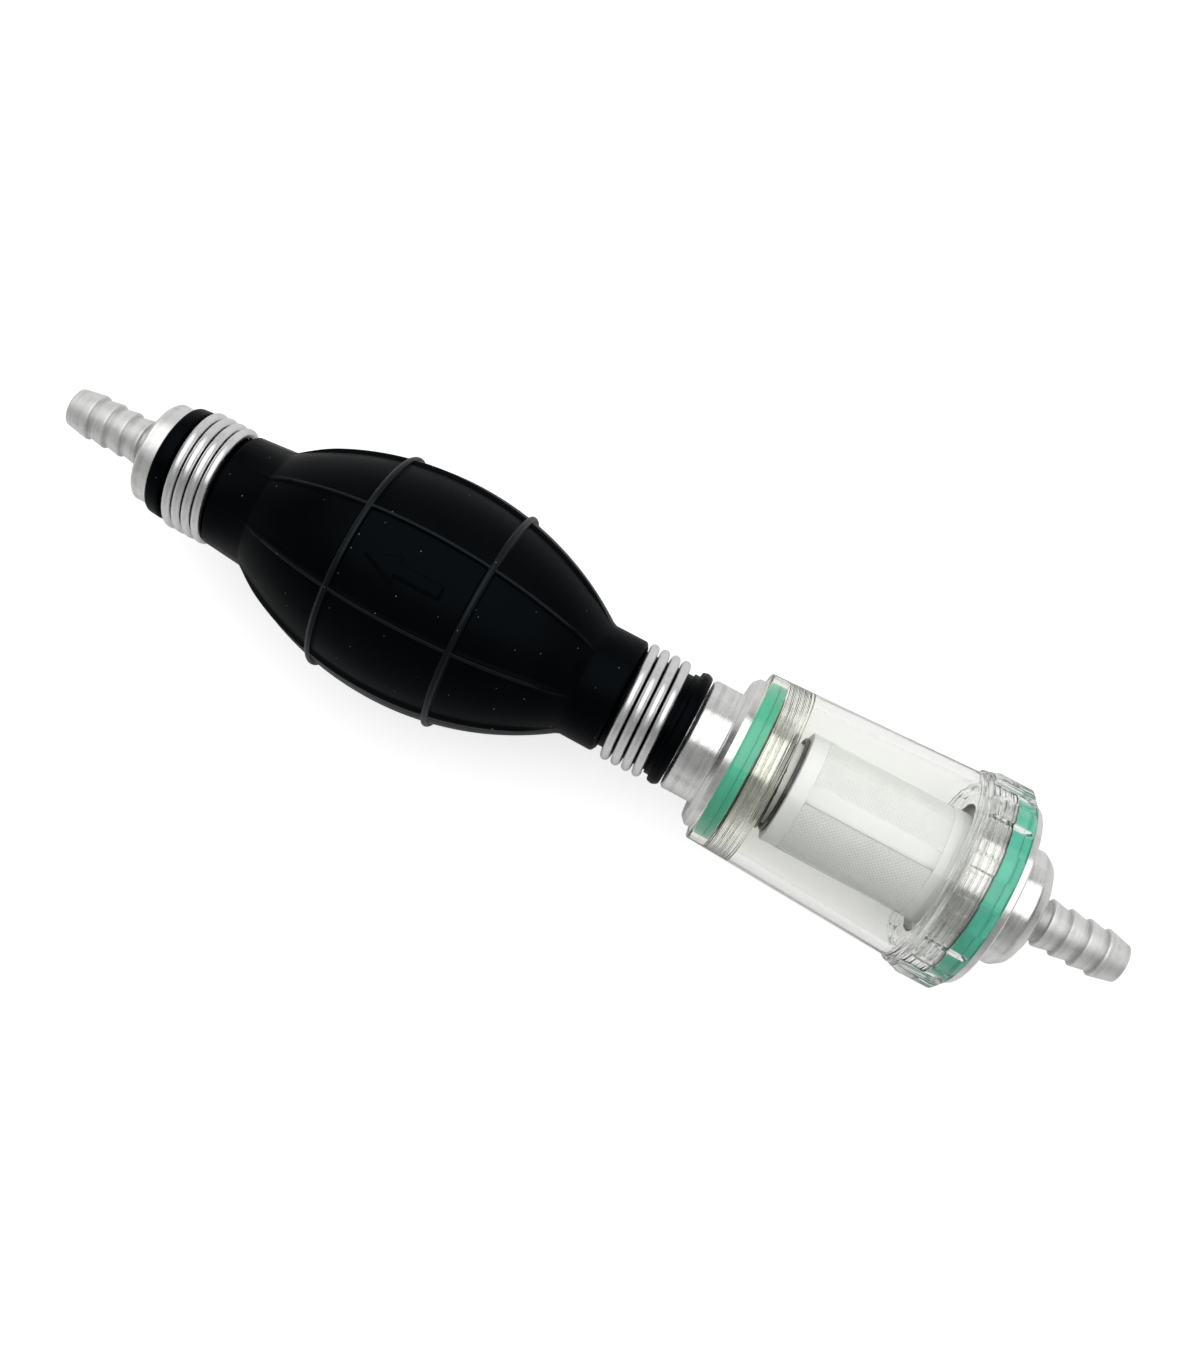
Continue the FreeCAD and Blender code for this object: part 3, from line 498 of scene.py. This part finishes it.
def clear_plastic():
    """Clear moulded plastic: frosted on the grip pads, a little yellower round the left thread.

    It lets lamps through, so that what is inside is lit."""
    n = Nodes("clear_plastic")
    flow = n.noise(95.0, 3.0, stretch=(0.35, 1.0, 1.0))
    along, radius = n.along_and_radius()
    thread_end = (BOWL_START + 10.4) * MM
    at_thread = n.range(along, thread_end, thread_end + 0.0005, 1.0, 0.0)
    n.set("Base Color", n.mix(at_thread, (0.992, 0.996, 0.975), (0.992, 0.996, 0.92)))
    n.set("Transmission Weight", 1.0)
    n.set("IOR", 1.36)
    frosting = n.range(radius, 0.0214, 0.0216, 0.0, 0.16)
    n.set("Roughness", n.math("ADD", n.range(flow, 0.3, 0.7, 0.015, 0.05), frosting))
    n.set("Normal", n.bump(flow, 0.12, 0.00025))
    see_through = n.tree.nodes.new("ShaderNodeBsdfTransparent")
    see_through.inputs["Color"].default_value = (0.99, 0.995, 0.985, 1.0)
    path = n.tree.nodes.new("ShaderNodeLightPath")
    mix = n.tree.nodes.new("ShaderNodeMixShader")
    n.link(path.outputs["Is Shadow Ray"], mix.inputs["Fac"])
    n.link(n.shader.outputs[0], mix.inputs[1])
    n.link(see_through.outputs[0], mix.inputs[2])
    n.link(mix.outputs[0], n.output.inputs["Surface"])
    return n.material


def moulded_plastic(name, low, high, roughness=0.45, glow=0.0, glow_depth=0.002):
    """Plain plastic between two colours; glow lets light spread under its surface."""
    n = Nodes(name)
    broad = n.noise(110.0, 3.0)
    fine = n.noise(1800.0, 3.0)
    n.set("Base Color", n.ramp(broad, [(0.3, low), (0.7, high)]))
    n.set("Roughness", n.range(fine, 0.3, 0.7, roughness - 0.08, roughness + 0.1))
    n.set("Normal", n.bump(fine, 0.15, 0.00004))
    if glow:
        n.set("Subsurface Weight", glow)
        n.set("Subsurface Radius", (glow_depth, glow_depth, glow_depth))
    return n.material


def dark_steel():
    n = Nodes("spring_steel")
    blotches = n.noise(500.0, 4.0)
    n.set("Metallic", 1.0)
    n.set("Base Color", n.ramp(blotches, [(0.3, (0.035, 0.032, 0.03)), (0.7, (0.1, 0.095, 0.09))]))
    n.set("Roughness", n.range(blotches, 0.3, 0.7, 0.25, 0.45))
    return n.material


def brass():
    n = Nodes("brass")
    rings = n.turning(6000.0)
    n.set("Metallic", 1.0)
    n.set("Base Color", n.ramp(rings, [(0.3, (0.70, 0.50, 0.22)), (0.7, (0.84, 0.64, 0.32))]))
    n.set("Roughness", n.range(rings, 0.3, 0.7, 0.2, 0.35))
    return n.material


def pale_floor():
    """A white floor that the camera sees a little brighter, as a studio sweep with its own light."""
    n = Nodes("pale_floor")
    fine = n.noise(30.0, 2.0)
    n.set("Base Color", n.ramp(fine, [(0.0, (0.89, 0.89, 0.89)), (1.0, (0.91, 0.91, 0.91))]))
    n.set("Roughness", 0.9)
    n.set("Specular IOR Level", 0.1)
    n.set("Emission Color", (1.0, 1.0, 1.0, 1.0))
    path = n.tree.nodes.new("ShaderNodeLightPath")
    direct = n.math("MULTIPLY", path.outputs["Is Camera Ray"], 0.62)
    through_plastic = n.math("MULTIPLY", path.outputs["Is Transmission Ray"], 0.3)
    n.set("Emission Strength", n.math("ADD", direct, through_plastic))
    return n.material


# the last two arguments: the radius under which barb valleys get painted shade, and how strong that
# painted shade is
ALUMINIUM = aluminium("turned_aluminium", 0.3, 0.17, INLET_VALLEY - VALLEY_DEEPER, 0.5)
SATIN = aluminium("satin_aluminium", 0.46, 0.34, OUTLET_VALLEY - VALLEY_DEEPER, 0.42)
ZINC = zinc_wire()
BLACK = black_rubber()
GREEN = green_rubber()
CLEAR = clear_plastic()
WHITE = moulded_plastic(
    "white_plastic", (0.80, 0.81, 0.80), (0.86, 0.87, 0.86), glow=0.4, glow_depth=0.005)
MESH_COLOURS = (0.88, 0.89, 0.88), (0.94, 0.95, 0.94)
MESH_WHITE = moulded_plastic("strainer_mesh", *MESH_COLOURS, 0.55)
SLEEVE_WHITE = moulded_plastic("strainer_sleeve", *MESH_COLOURS, 0.6, glow=0.5, glow_depth=0.006)
ACETAL = moulded_plastic("acetal", (0.74, 0.74, 0.70), (0.80, 0.80, 0.76))
NITRILE = moulded_plastic("nitrile", (0.012, 0.012, 0.012), (0.02, 0.02, 0.02))
STEEL = dark_steel()
BRASS = brass()


# ------------------------------------------------------------------ hose barbs and turned aluminium

def barb_outline(tip, pitch, crest_radius, valley_radius, inward):
    """Saw teeth from the tip inwards, as (x, radius, rounding); inward is +1 or -1."""
    points = [(tip, BARB_TIP_RADIUS, 0.35)]
    for tooth in range(BARB_TEETH):
        crest = tip + (BARB_NOSE_LENGTH + pitch * tooth) * inward
        points.append((crest - 0.2 * inward, crest_radius, 0.1))
        points.append((crest + 0.16 * inward, crest_radius, 0.07))
        points.append((crest + 0.3 * inward, valley_radius - VALLEY_DEEPER, 0.2))
    return points


def outlet_fitting():
    face = RUBBER_START
    collar_start, collar_radius = face - 4.0, 10.95
    stem_end, pocket_end = face + 17.6, face + 6.6
    points = barb_outline(TIP_OUT, OUTLET_PITCH, OUTLET_CREST, OUTLET_VALLEY, 1)
    points += [
        (collar_start, OUTLET_VALLEY, 0.5), (collar_start, collar_radius - 0.5),
        (face - 3.5, collar_radius), (face - 0.3, collar_radius), (face, 10.65),
        (face, STEM_RADIUS), (stem_end, STEM_RADIUS), (stem_end, VALVE_RADIUS),
        (pocket_end, VALVE_RADIUS), (pocket_end, 5.5), (face + 2.6, 5.5),
        (face + 0.6, BORE_RADIUS), (TIP_OUT, BORE_RADIUS, 0.25),
    ]
    piece = lathe("outlet_fitting_looks", rounded(points), SATIN)
    finish_piece(piece, "root", "aluminium", "outlet_fitting")


def thread_height(x, turn, start, end):
    """A right-hand helical tooth on the stretch from start to end: 1 on its crest, 0 at its root."""
    inside = smoothstep(x, start, start + 0.5) * (1 - smoothstep(x, end - 0.5, end))
    phase = np.mod(x / THREAD_PITCH - turn / (2 * math.pi), 1.0)
    return (1 - smoothstep(np.abs(phase - 0.5), 0.12, 0.40)) * inside


def threaded_radius(start, end, root, crest):
    """A raise function: a male thread on the stretch from start to end."""
    def raise_by(x, r, turn):
        return thread_height(x, turn, start, end) * (np.abs(r - root) < 0.05) * (crest - root)
    return raise_by


def bowl_height(x, r, turn):
    """The raise function of the bowl: grip pads outside, and two female threads inside."""
    left = thread_height(x + THREAD_PITCH / 2, turn, GASKET_END + 0.8, BOWL_START + 10.2)
    right = thread_height(x + THREAD_PITCH / 2, turn, COLLAR_START, CAP_GASKET_START + 0.4)
    grooves = left * (np.abs(r - LEFT_BORE) < 0.03) + right * (np.abs(r - RIGHT_BORE) < 0.03)
    return pad_height(x, r, turn) - FEMALE_DEPTH * grooves


def with_thread_rows(points, root, step=0.14):
    """Split the outline's run along a thread's root into fine rows."""
    result = []
    for index, (x, r) in enumerate(points):
        next_x, next_r = points[(index + 1) % len(points)]
        result.append((x, r))
        along_root = abs(r - root) < 0.02 and abs(next_r - root) < 0.02
        parts = int(abs(next_x - x) / step) if along_root else 1
        for part in range(1, parts):
            result.append((x + (next_x - x) * part / parts, root))
    return result


def filter_adapter():
    shoulder = RUBBER_END + 0.4
    flange = GASKET_START
    end = ADAPTER_END
    body_radius, flange_radius = 12.35, 16.8
    spring_pocket, spring_pocket_radius = end - 5.6, 11.3
    spigot_bore, spigot_bore_radius = end - 14.6, 9.08
    valve_pocket = ADAPTER_START + 13.5
    points = [
        (ADAPTER_START, VALVE_RADIUS), (ADAPTER_START, STEM_RADIUS), (shoulder, STEM_RADIUS),
        (shoulder, body_radius - 0.6, 0.1), (shoulder + 0.6, body_radius, 0.3),
        (flange - 3.1, body_radius, 0.35), (flange - 3.1, flange_radius - 1.3, 0.3),
        (flange - 1.9, flange_radius, 0.3), (flange, flange_radius), (flange, LEFT_ROOT),
        (end - 0.4, LEFT_ROOT), (end, LEFT_ROOT - 0.4), (end, spring_pocket_radius),
        (spring_pocket, spring_pocket_radius), (spring_pocket, spigot_bore_radius),
        (spigot_bore, spigot_bore_radius), (spigot_bore, BORE_RADIUS),
        (valve_pocket, BORE_RADIUS), (valve_pocket, VALVE_RADIUS),
    ]
    outline = with_thread_rows(rounded(points), LEFT_ROOT)
    thread = threaded_radius(GASKET_END - 0.2, end - 0.3, LEFT_ROOT, LEFT_CREST)
    piece = lathe("filter_adapter_looks", outline, ALUMINIUM, raise_by=thread)
    finish_piece(piece, "root", "aluminium", "filter_adapter")


def end_cap():
    flange = CAP_GASKET_END
    boss = flange + 10.4
    gasket_seat, flange_radius, boss_radius = 18.2, 20.1, 12.8
    pocket, pocket_radius = CAP_START + 4.3, 14.5
    points = [
        (CAP_START, pocket_radius), (CAP_START, RIGHT_ROOT - 0.4), (CAP_START + 0.4, RIGHT_ROOT),
        (CAP_GASKET_START, RIGHT_ROOT), (CAP_GASKET_START, gasket_seat), (flange, gasket_seat),
        (flange, flange_radius), (flange + 1.5, flange_radius), (flange + 1.8, flange_radius - 0.3),
        (flange + 1.8, boss_radius, 0.3), (boss - 3.0, boss_radius, 1.6), (boss - 1.0, 11.4, 1.2),
        (boss, 9.2, 0.8), (boss, INLET_VALLEY, 0.4),
    ]
    points += reversed(barb_outline(TIP_IN, INLET_PITCH, INLET_CREST, INLET_VALLEY, -1))
    points += [(TIP_IN, BORE_RADIUS, 0.25), (pocket, BORE_RADIUS), (pocket, pocket_radius)]
    outline = with_thread_rows(rounded(points, steps=4), RIGHT_ROOT)
    thread = threaded_radius(CAP_START + 0.4, CAP_GASKET_START, RIGHT_ROOT, RIGHT_CREST)
    piece = lathe("end_cap_looks", outline, ALUMINIUM, raise_by=thread)
    finish_piece(piece, "end_cap", "aluminium", "end_cap")


def finish_piece(piece, body, slot, *nodes):
    """Shade a piece, let it ride, and hide the CAD nodes it stands in for, if any."""
    face_weighted(piece)
    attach(piece, body)
    if nodes:
        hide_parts(*nodes)


# ------------------------------------------------------------------ rubber bulb

def belly_curve(start, end, end_radius, crown, count):
    """Points on the barrel's arc from start to end."""
    bend = arc_radius((end - start) / 2, crown - end_radius)
    middle = (start + end) / 2
    xs = np.linspace(start, end, count)
    return [(x, crown - bend + math.sqrt(bend ** 2 - (x - middle) ** 2)) for x in xs]


def fine_stations(start, end):
    """Stations along the belly, close together at the hoops and along the arrow."""
    hoop_step, arrow_step, plain_step = 0.16, 0.28, 0.9
    spots = [start]
    while spots[-1] < end - 0.3:
        x = spots[-1]
        near_hoop = min(abs(x - hoop) for hoop in HOOPS) < 1.6
        near_arrow = ARROW_TIP - 1 < x < ARROW_TIP + ARROW_LENGTH + 1
        spots.append(x + (hoop_step if near_hoop else arrow_step if near_arrow else plain_step))
    return spots[1:]


def degrees_off_rib(degrees):
    """How far an angle is from the nearest rib."""
    return np.abs((degrees - RIB_ANGLE + RIB_STEP / 2) % RIB_STEP - RIB_STEP / 2)


def degrees_off_arrow(degrees):
    return np.abs((degrees - ARROW_ANGLE + 180) % 360 - 180)


def fine_angles():
    """Angles round the bulb, close together at the ribs and across the arrow."""
    rib_step, arrow_step, plain_step = 0.26, 0.4, 2.0
    angles = []
    angle = first = RIB_ANGLE - RIB_STEP / 2
    while angle < first + 360 - 0.2:
        angles.append(angle)
        near_rib = degrees_off_rib(angle) < 2.4
        near_arrow = degrees_off_arrow(angle) < 9.0
        angle += rib_step if near_rib else arrow_step if near_arrow else plain_step
    return np.radians(angles)


def bulb_height(x, r, turn):
    """Height of the ribs, hoops and arrow above the belly's own curve."""
    outside = (r > NECK_RADIUS - 0.05) & (x > BELLY_START - 3) & (x < BELLY_END + 3)
    outside &= r > belly_limit(x) - 1.2
    degrees = np.degrees(turn)
    across = np.radians(degrees_off_rib(degrees)) * r
    grows = smoothstep(x, BELLY_START - 1.0, BELLY_START + 9)
    fades = 1 - smoothstep(x, BELLY_END - 9, BELLY_END + 1)
    rib = 1 - smoothstep(across, RIB_HALF_WIDTH * 0.5, RIB_HALF_WIDTH * 1.9)
    rib = rib * RIB_HEIGHT * (grows * fades)
    hoops = np.zeros_like(x)
    for hoop in HOOPS:
        along = np.abs(x - hoop) / HOOP_HALF_WIDTH
        hoops = np.maximum(hoops, np.sqrt(np.clip(1 - along ** 2, 0, 1)) * HOOP_HEIGHT)
    side = np.radians(degrees_off_arrow(degrees)) * r
    from_tip = x - ARROW_TIP
    head = from_tip * ARROW_HEAD_HALF / ARROW_HEAD_LENGTH - side
    head = np.minimum(head, ARROW_HEAD_LENGTH - from_tip)
    shaft = np.minimum(ARROW_SHAFT_HALF - side, ARROW_LENGTH - from_tip)
    shaft = np.minimum(shaft, from_tip - ARROW_HEAD_LENGTH * 0.5)
    arrow = smoothstep(np.maximum(head, shaft), -0.15, 0.3) * ARROW_HEIGHT
    return np.maximum(np.maximum(rib, hoops), arrow) * outside


def belly_limit(x):
    """The belly's own outer radius at x."""
    half = (BELLY_END - BELLY_START) / 2
    bend = arc_radius(half, BELLY_RADIUS - NECK_RADIUS)
    middle = (BELLY_START + BELLY_END) / 2
    off = np.clip(np.abs(x - middle), 0, half)
    return BELLY_RADIUS - bend + np.sqrt(bend ** 2 - off ** 2)


def rubber_bulb():
    s, e = RUBBER_START, RUBBER_END
    left = rounded([
        (s, NECK_BORE), (s, 12.0, 0.8), (s + 3.3, 12.3, 0.7), (s + 3.3, CLAMP_GROOVE_RADIUS),
        (s + 13.8, CLAMP_GROOVE_RADIUS), (s + 13.8, 12.4, 0.5), (BELLY_START - 1.5, NECK_RADIUS, 0),
    ], 0.3, 4)[1:-1]
    belly = [(x, float(belly_limit(np.array(x)))) for x in fine_stations(BELLY_START, BELLY_END)]
    right = rounded([
        (BELLY_END + 1.5, NECK_RADIUS, 0), (e - 15.4, 12.6, 0.9), (e - 14.7, 11.4, 0.3),
        (e - 14.7, CLAMP_GROOVE_RADIUS), (e - 3.8, CLAMP_GROOVE_RADIUS, 0.1), (e - 3.8, 11.4),
        (e - 2.6, 11.4), (e - 2.6, 12.4, 0.8), (e - 1.3, 12.75, 1.0), (e, 12.2, 0.9),
        (e, NECK_BORE),
    ], 0.3, 4)[:-1]
    hollow = belly_curve(
        BELLY_START + 2.5, BELLY_END - 2.5, NECK_BORE + 1.6, BELLY_RADIUS - BELLY_WALL, 40)
    inside = [(e, NECK_BORE), (BELLY_END + 1, NECK_BORE)]
    inside += hollow[::-1]
    inside += [(BELLY_START - 1, NECK_BORE), (s, NECK_BORE)]
    outline = left + belly + right + inside
    piece = lathe("rubber_bulb_looks", outline, BLACK, angles=fine_angles(), raise_by=bulb_height)
    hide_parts("rubber_bulb")
    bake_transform(piece)


# ------------------------------------------------------------------ wires and springs

def wire_clamps():
    for side, pitch in (("outlet", 2.28), ("inlet", 2.42)):
        start = span(side + "_wire_clamp")[0] + CLAMP_WIRE
        centres = helix(start, CLAMP_RADIUS, pitch, CLAMP_TURNS, CLAMP_ANGLE)
        piece = tube(side + "_wire_clamp_looks", centres, CLAMP_WIRE, ZINC, sides=20)
        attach(piece, "root")
        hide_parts(side + "_wire_clamp")


def strainer_spring():
    """Open turns that close up against the strainer's shoulder."""
    low = span("filter_spring")[0]
    high = SHOULDER - 0.5
    turned = np.linspace(0, SPRING_TURNS, 240)
    angle = math.radians(SPRING_ANGLE) + turned * 2 * math.pi
    travel = 1 - (1 - np.clip(turned / SPRING_OPEN_TURNS, 0, 1)) ** 1.3
    x = low + SPRING_WIRE + travel * (high - low - SPRING_WIRE)
    centres = np.stack([x, -SPRING_RADIUS * np.sin(angle), SPRING_RADIUS * np.cos(angle)], -1)
    piece = tube("filter_spring_looks", centres, SPRING_WIRE, STEEL, sides=14)
    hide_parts("filter_spring")
    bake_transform(piece)


def valve_springs():
    for side in ("outlet", "inlet"):
        low, high = span(side + "_valve_spring")
        pitch = (high - low - 2 * VALVE_SPRING_WIRE) / VALVE_SPRING_TURNS
        centres = helix(low + VALVE_SPRING_WIRE, VALVE_SPRING_RADIUS, pitch, VALVE_SPRING_TURNS, 0, 32)
        piece = tube(side + "_valve_spring_looks", centres, VALVE_SPRING_WIRE, STEEL, sides=8)
        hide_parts(side + "_valve_spring")
        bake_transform(piece)


# ------------------------------------------------------------------ bowl, gaskets and strainer

def pad_height(x, r, turn):
    """Grip pads with rounded ends on the collar."""
    degrees = np.degrees(turn)
    off = np.abs((degrees - PAD_ANGLE + PAD_STEP / 2) % PAD_STEP - PAD_STEP / 2)
    side = PAD_HALF_ANGLE - off
    side_mm = np.radians(side) * 22.0
    start = COLLAR_START + 1.0
    end = BOWL_END - 0.6
    along = np.minimum(x - start, end - x)
    inside = np.minimum(smoothstep(side_mm, -0.1, 0.25), smoothstep(along, -0.1, 0.9))
    outside = (r > 21.15) & (x > start - 0.3)
    return inside * outside * PAD_HEIGHT


def pad_angles():
    """Angles round the collar, close together at the pads' sides."""
    side = (2.5, 5.0, 6.75, 7.1, 7.5, 7.9)
    between = (9.5, 12, 15, 18, 20.5)
    offs = [-off for off in side[::-1]] + [0, *side, *between]
    return np.radians([PAD_ANGLE + pad * PAD_STEP + off for pad in range(PAD_COUNT) for off in offs])


def filter_bowl():
    s, e = BOWL_START, BOWL_END
    c = COLLAR_START
    outer_start, outer_end, collar = 18.9, 21.06, 21.3
    left_recess, right_recess = 17.52, 20.02
    points = [
        (s, left_recess, 0.2), (s, outer_start, 0.5), (c, outer_end, 0.25), (c, 21.75, 0.35),
        (c + 0.95, 21.9, 0.35), (c + 1.3, collar, 0.3), (e, collar, 0.3), (e, right_recess, 0.15),
        (CAP_GASKET_START, right_recess, 0.1), (CAP_GASKET_START, RIGHT_BORE, 0.1),
        (c - 0.7, RIGHT_BORE, 0.2), (s + 9.8, 16.6, 0.3), (s + 9.8, LEFT_BORE, 0.1),
        (GASKET_END, LEFT_BORE, 0.1), (GASKET_END, left_recess, 0.1),
    ]
    outline = divided(rounded(points, steps=4), 1.2)
    for bore in (RIGHT_BORE, LEFT_BORE):
        outline = with_thread_rows(outline, bore)
    piece = lathe("filter_bowl_looks", outline, CLEAR, angles=pad_angles(), raise_by=bowl_height)
    finish_piece(piece, "bowl", "clear_plastic", "filter_bowl")


def gaskets():
    for node, inner in (("adapter_gasket", 16.02), ("cap_gasket", 18.52)):
        start, end = span(node)
        outer = reach(node) + 0.125
        middle = start + (end - start) * 0.58
        points = [
            (start, inner), (start, outer - 0.1, 0.35), (middle - 0.12, outer, 0.1),
            (middle, outer - 0.25, 0.1), (middle + 0.12, outer, 0.1), (end, outer - 0.1, 0.35),
            (end, inner),
        ]
        piece = lathe(node + "_looks", rounded(points), GREEN)
        finish_piece(piece, node, "green_rubber", node)


def strainer_frame():
    s = FRAME_START
    ring_end = SHOULDER + 3.6
    spigot_bore, spigot, seal_groove = 7.6, 9.0, 7.9
    head = [
        (s, spigot_bore), (s, spigot - 0.5), (s + 0.5, spigot), (s + 1.5, spigot),
        (s + 1.5, seal_groove), (s + 3.3, seal_groove), (s + 3.3, spigot), (SHOULDER, spigot),
        (SHOULDER, WINDOW_OUTER, 0.4), (ring_end, WINDOW_OUTER, 0.2), (ring_end, WINDOW_INNER),
        (MESH_START, WINDOW_INNER), (MESH_START, spigot_bore),
    ]
    piece = lathe("strainer_head_looks", rounded(head), WHITE)
    finish_piece(piece, "strainer", "white_plastic", "filter_frame")
    foot_start = FRAME_END - 2.2
    foot = [
        (foot_start, WINDOW_INNER), (foot_start, WINDOW_OUTER, 0.2), (FRAME_END, WINDOW_OUTER),
        (FRAME_END, WINDOW_INNER),
    ]
    ring = lathe("strainer_foot_ring_looks", rounded(foot), WHITE)
    finish_piece(ring, "strainer", "white_plastic")
    for bar in range(BAR_COUNT):
        name = "strainer_bar_%d_looks" % (bar + 1)
        angle = BAR_ANGLE + bar * 360 // BAR_COUNT
        piece = window_bar(name, ring_end - 0.1, FRAME_END - 2.1, angle)
        finish_piece(piece, "strainer", "white_plastic")


def window_bar(name, start, end, angle):
    """One curved bar between the strainer's windows, with softened long edges."""
    inner, outer, half = WINDOW_INNER, WINDOW_OUTER, 10.0
    corners = (
        (-half, inner), (-half, outer - 0.2), (-half + 0.8, outer), (-half / 2, outer), (0, outer),
        (half / 2, outer), (half - 0.8, outer), (half, outer - 0.2), (half, inner),
        (half / 2, inner), (0, inner), (-half / 2, inner),
    )
    section = []
    for off, radius in corners:
        turn = math.radians(angle + off)
        section.append((-radius * math.sin(turn), radius * math.cos(turn)))
    stations = np.linspace(start, end, 9)
    vertices = [(x, y, z) for x in stations for y, z in section]
    count = len(section)
    faces = [list(range(count))]
    for row in range(len(stations) - 1):
        for column in range(count):
            following = (column + 1) % count
            base = row * count
            above = base + count
            faces.append([base + column, above + column, above + following, base + following])
    faces.append(list(range((len(stations) - 1) * count, len(stations) * count))[::-1])
    return new_object(name, vertices, faces, WHITE)


def add_strand(vertices, faces, xs, turns, hand, radius):
    """One square wire wound at 45 degrees, to the right or left by hand."""
    wire, sides = 0.12, 4
    base = len(vertices)
    for x, turn in zip(xs, turns):
        for corner in range(sides):
            phase = math.pi / 4 + corner * math.pi / 2
            r = radius + wire * math.cos(phase)
            slip = wire * math.sin(phase) * 0.7
            at = turn - hand * slip / radius
            vertices.append((x + slip, -r * math.sin(at), r * math.cos(at)))
    last = len(xs) - 1
    for step in range(last):
        low = base + step * sides
        high = low + sides
        for corner in range(sides):
            following = (corner + 1) % sides
            faces.append([low + corner, high + corner, high + following, low + following])
    faces.append([base + corner for corner in range(sides)][::-1])
    faces.append([base + last * sides + corner for corner in range(sides)])


def strainer_mesh():
    """The pale sleeve between the frame's bars, with two families of fine wires wound on it."""
    outer = reach("filter_mesh") + 0.45
    inner, skin = outer - 0.4, outer - 0.16
    sleeve = [(MESH_START, inner), (MESH_START, skin), (MESH_END, skin), (MESH_END, inner)]
    backing = lathe("strainer_sleeve_looks", divided(sleeve, 2.0), SLEEVE_WHITE)
    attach(backing, "strainer")
    radius = outer - 0.14
    length = MESH_END - MESH_START - 0.4
    spacing = 0.62
    strands = int(2 * math.pi * radius * math.sin(math.radians(45)) / spacing)
    turns = length / (2 * math.pi * radius)
    steps = 48
    share = np.linspace(0, 1, steps + 1)
    xs = MESH_START + 0.2 + length * share
    vertices = []
    faces = []
    for hand in (1, -1):
        for strand in range(strands):
            turn = 2 * math.pi * (strand / strands + hand * turns * share)
            add_strand(vertices, faces, xs, turn, hand, radius)
    piece = new_object("strainer_mesh_looks", vertices, faces, MESH_WHITE)
    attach(piece, "strainer")
    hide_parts("filter_mesh")


def carried_over_nodes():
    """Hidden inner parts keep their CAD shapes and get real materials."""
    choice = {
        "valve_seat": ACETAL, "valve_seal": NITRILE, "valve_poppet": BRASS, "valve_retainer": ACETAL,
        "spigot_seal": NITRILE, "filter_end_plug": WHITE,
    }
    for name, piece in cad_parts.items():
        for ending, material in choice.items():
            if name.endswith(ending):
                piece.data.materials.clear()
                piece.data.materials.append(material)


# ------------------------------------------------------------------ floor, lights and camera

def studio():
    floor_z = cad_box[0].z
    bpy.ops.mesh.primitive_plane_add(size=6, location=(0, 0, floor_z))
    floor = bpy.context.object
    floor.name = "floor"
    floor.data.materials.append(pale_floor())

    bpy.context.scene.world = studio_world()
    area_light("key", angle=-25, distance=0.75, width=0.97, length=1.6, radiance=1.15)


def studio_world():
    """Light from all round: pale at both horizons and darker on the side away from the softbox."""
    world = bpy.data.worlds.new("studio")
    world.use_nodes = True
    nodes, links = world.node_tree.nodes, world.node_tree.links
    place = nodes.new("ShaderNodeTexCoord")
    parts = nodes.new("ShaderNodeSeparateXYZ")
    links.new(place.outputs["Generated"], parts.inputs[0])
    away = nodes.new("ShaderNodeMath")
    away.operation = "MULTIPLY"
    away.inputs[1].default_value = -1
    links.new(parts.outputs["Y"], away.inputs[0])
    angle = nodes.new("ShaderNodeMath")
    angle.operation = "ARCTAN2"
    links.new(away.outputs[0], angle.inputs[0])
    links.new(parts.outputs["Z"], angle.inputs[1])
    share = nodes.new("ShaderNodeMapRange")
    share.inputs["From Min"].default_value = -math.pi
    share.inputs["From Max"].default_value = math.pi
    links.new(angle.outputs[0], share.inputs["Value"])
    ramp = nodes.new("ShaderNodeValToRGB")
    # (degrees from overhead towards -Y, brightness)
    stops = [
        (-180, 0.5), (-75, 0.6), (-58, 0.2), (6, 0.2), (22, 0.26), (58, 0.3), (80, 0.5), (180, 0.5)]
    while len(ramp.color_ramp.elements) < len(stops):
        ramp.color_ramp.elements.new(0.5)
    for element, (degrees, level) in zip(ramp.color_ramp.elements, stops):
        element.position = (degrees + 180) / 360
        element.color = (level, level, level, 1)
    links.new(share.outputs["Result"], ramp.inputs["Fac"])
    links.new(ramp.outputs["Color"], nodes["Background"].inputs["Color"])
    nodes["Background"].inputs["Strength"].default_value = 1.0
    return world


def area_light(name, angle, distance, width, length, radiance):
    """A long softbox that runs along X, at an angle from +Z towards -Y."""
    data = bpy.data.lights.new(name, "AREA")
    data.shape = "RECTANGLE"
    data.size = length
    data.size_y = width
    data.energy = radiance * math.pi * length * width
    lamp = bpy.data.objects.new(name, data)
    turn = math.radians(angle)
    lamp.location = (0, -distance * math.sin(turn), distance * math.cos(turn))
    lamp.rotation_euler = (turn, 0, 0)
    bpy.context.scene.collection.objects.link(lamp)


def camera():
    """Looks nearly straight down, from a little towards the filter, with the pump turned 28 degrees."""
    data = bpy.data.cameras.new("camera")
    data.lens = 38.05
    data.sensor_width = 36
    data.clip_start = 0.01
    eye = bpy.data.objects.new("camera", data)
    place = Vector((0.0142, 0, 0.2978))
    aim = Vector((0.0023, 0, 0))
    back = (place - aim).normalized()
    droop = math.radians(28.09)
    right = Vector((math.cos(droop), math.sin(droop), 0))
    right = (right - back * right.dot(back)).normalized()
    up = back.cross(right)
    basis = Matrix((right, up, back)).transposed().to_4x4()
    basis.translation = place
    eye.matrix_world = basis
    bpy.context.scene.collection.objects.link(eye)
    bpy.context.scene.camera = eye


outlet_fitting()
filter_adapter()
end_cap()
rubber_bulb()
wire_clamps()
strainer_spring()
valve_springs()
filter_bowl()
gaskets()
strainer_frame()
strainer_mesh()
carried_over_nodes()
studio()
camera()
bpy.context.scene.view_settings.view_transform = "Standard"
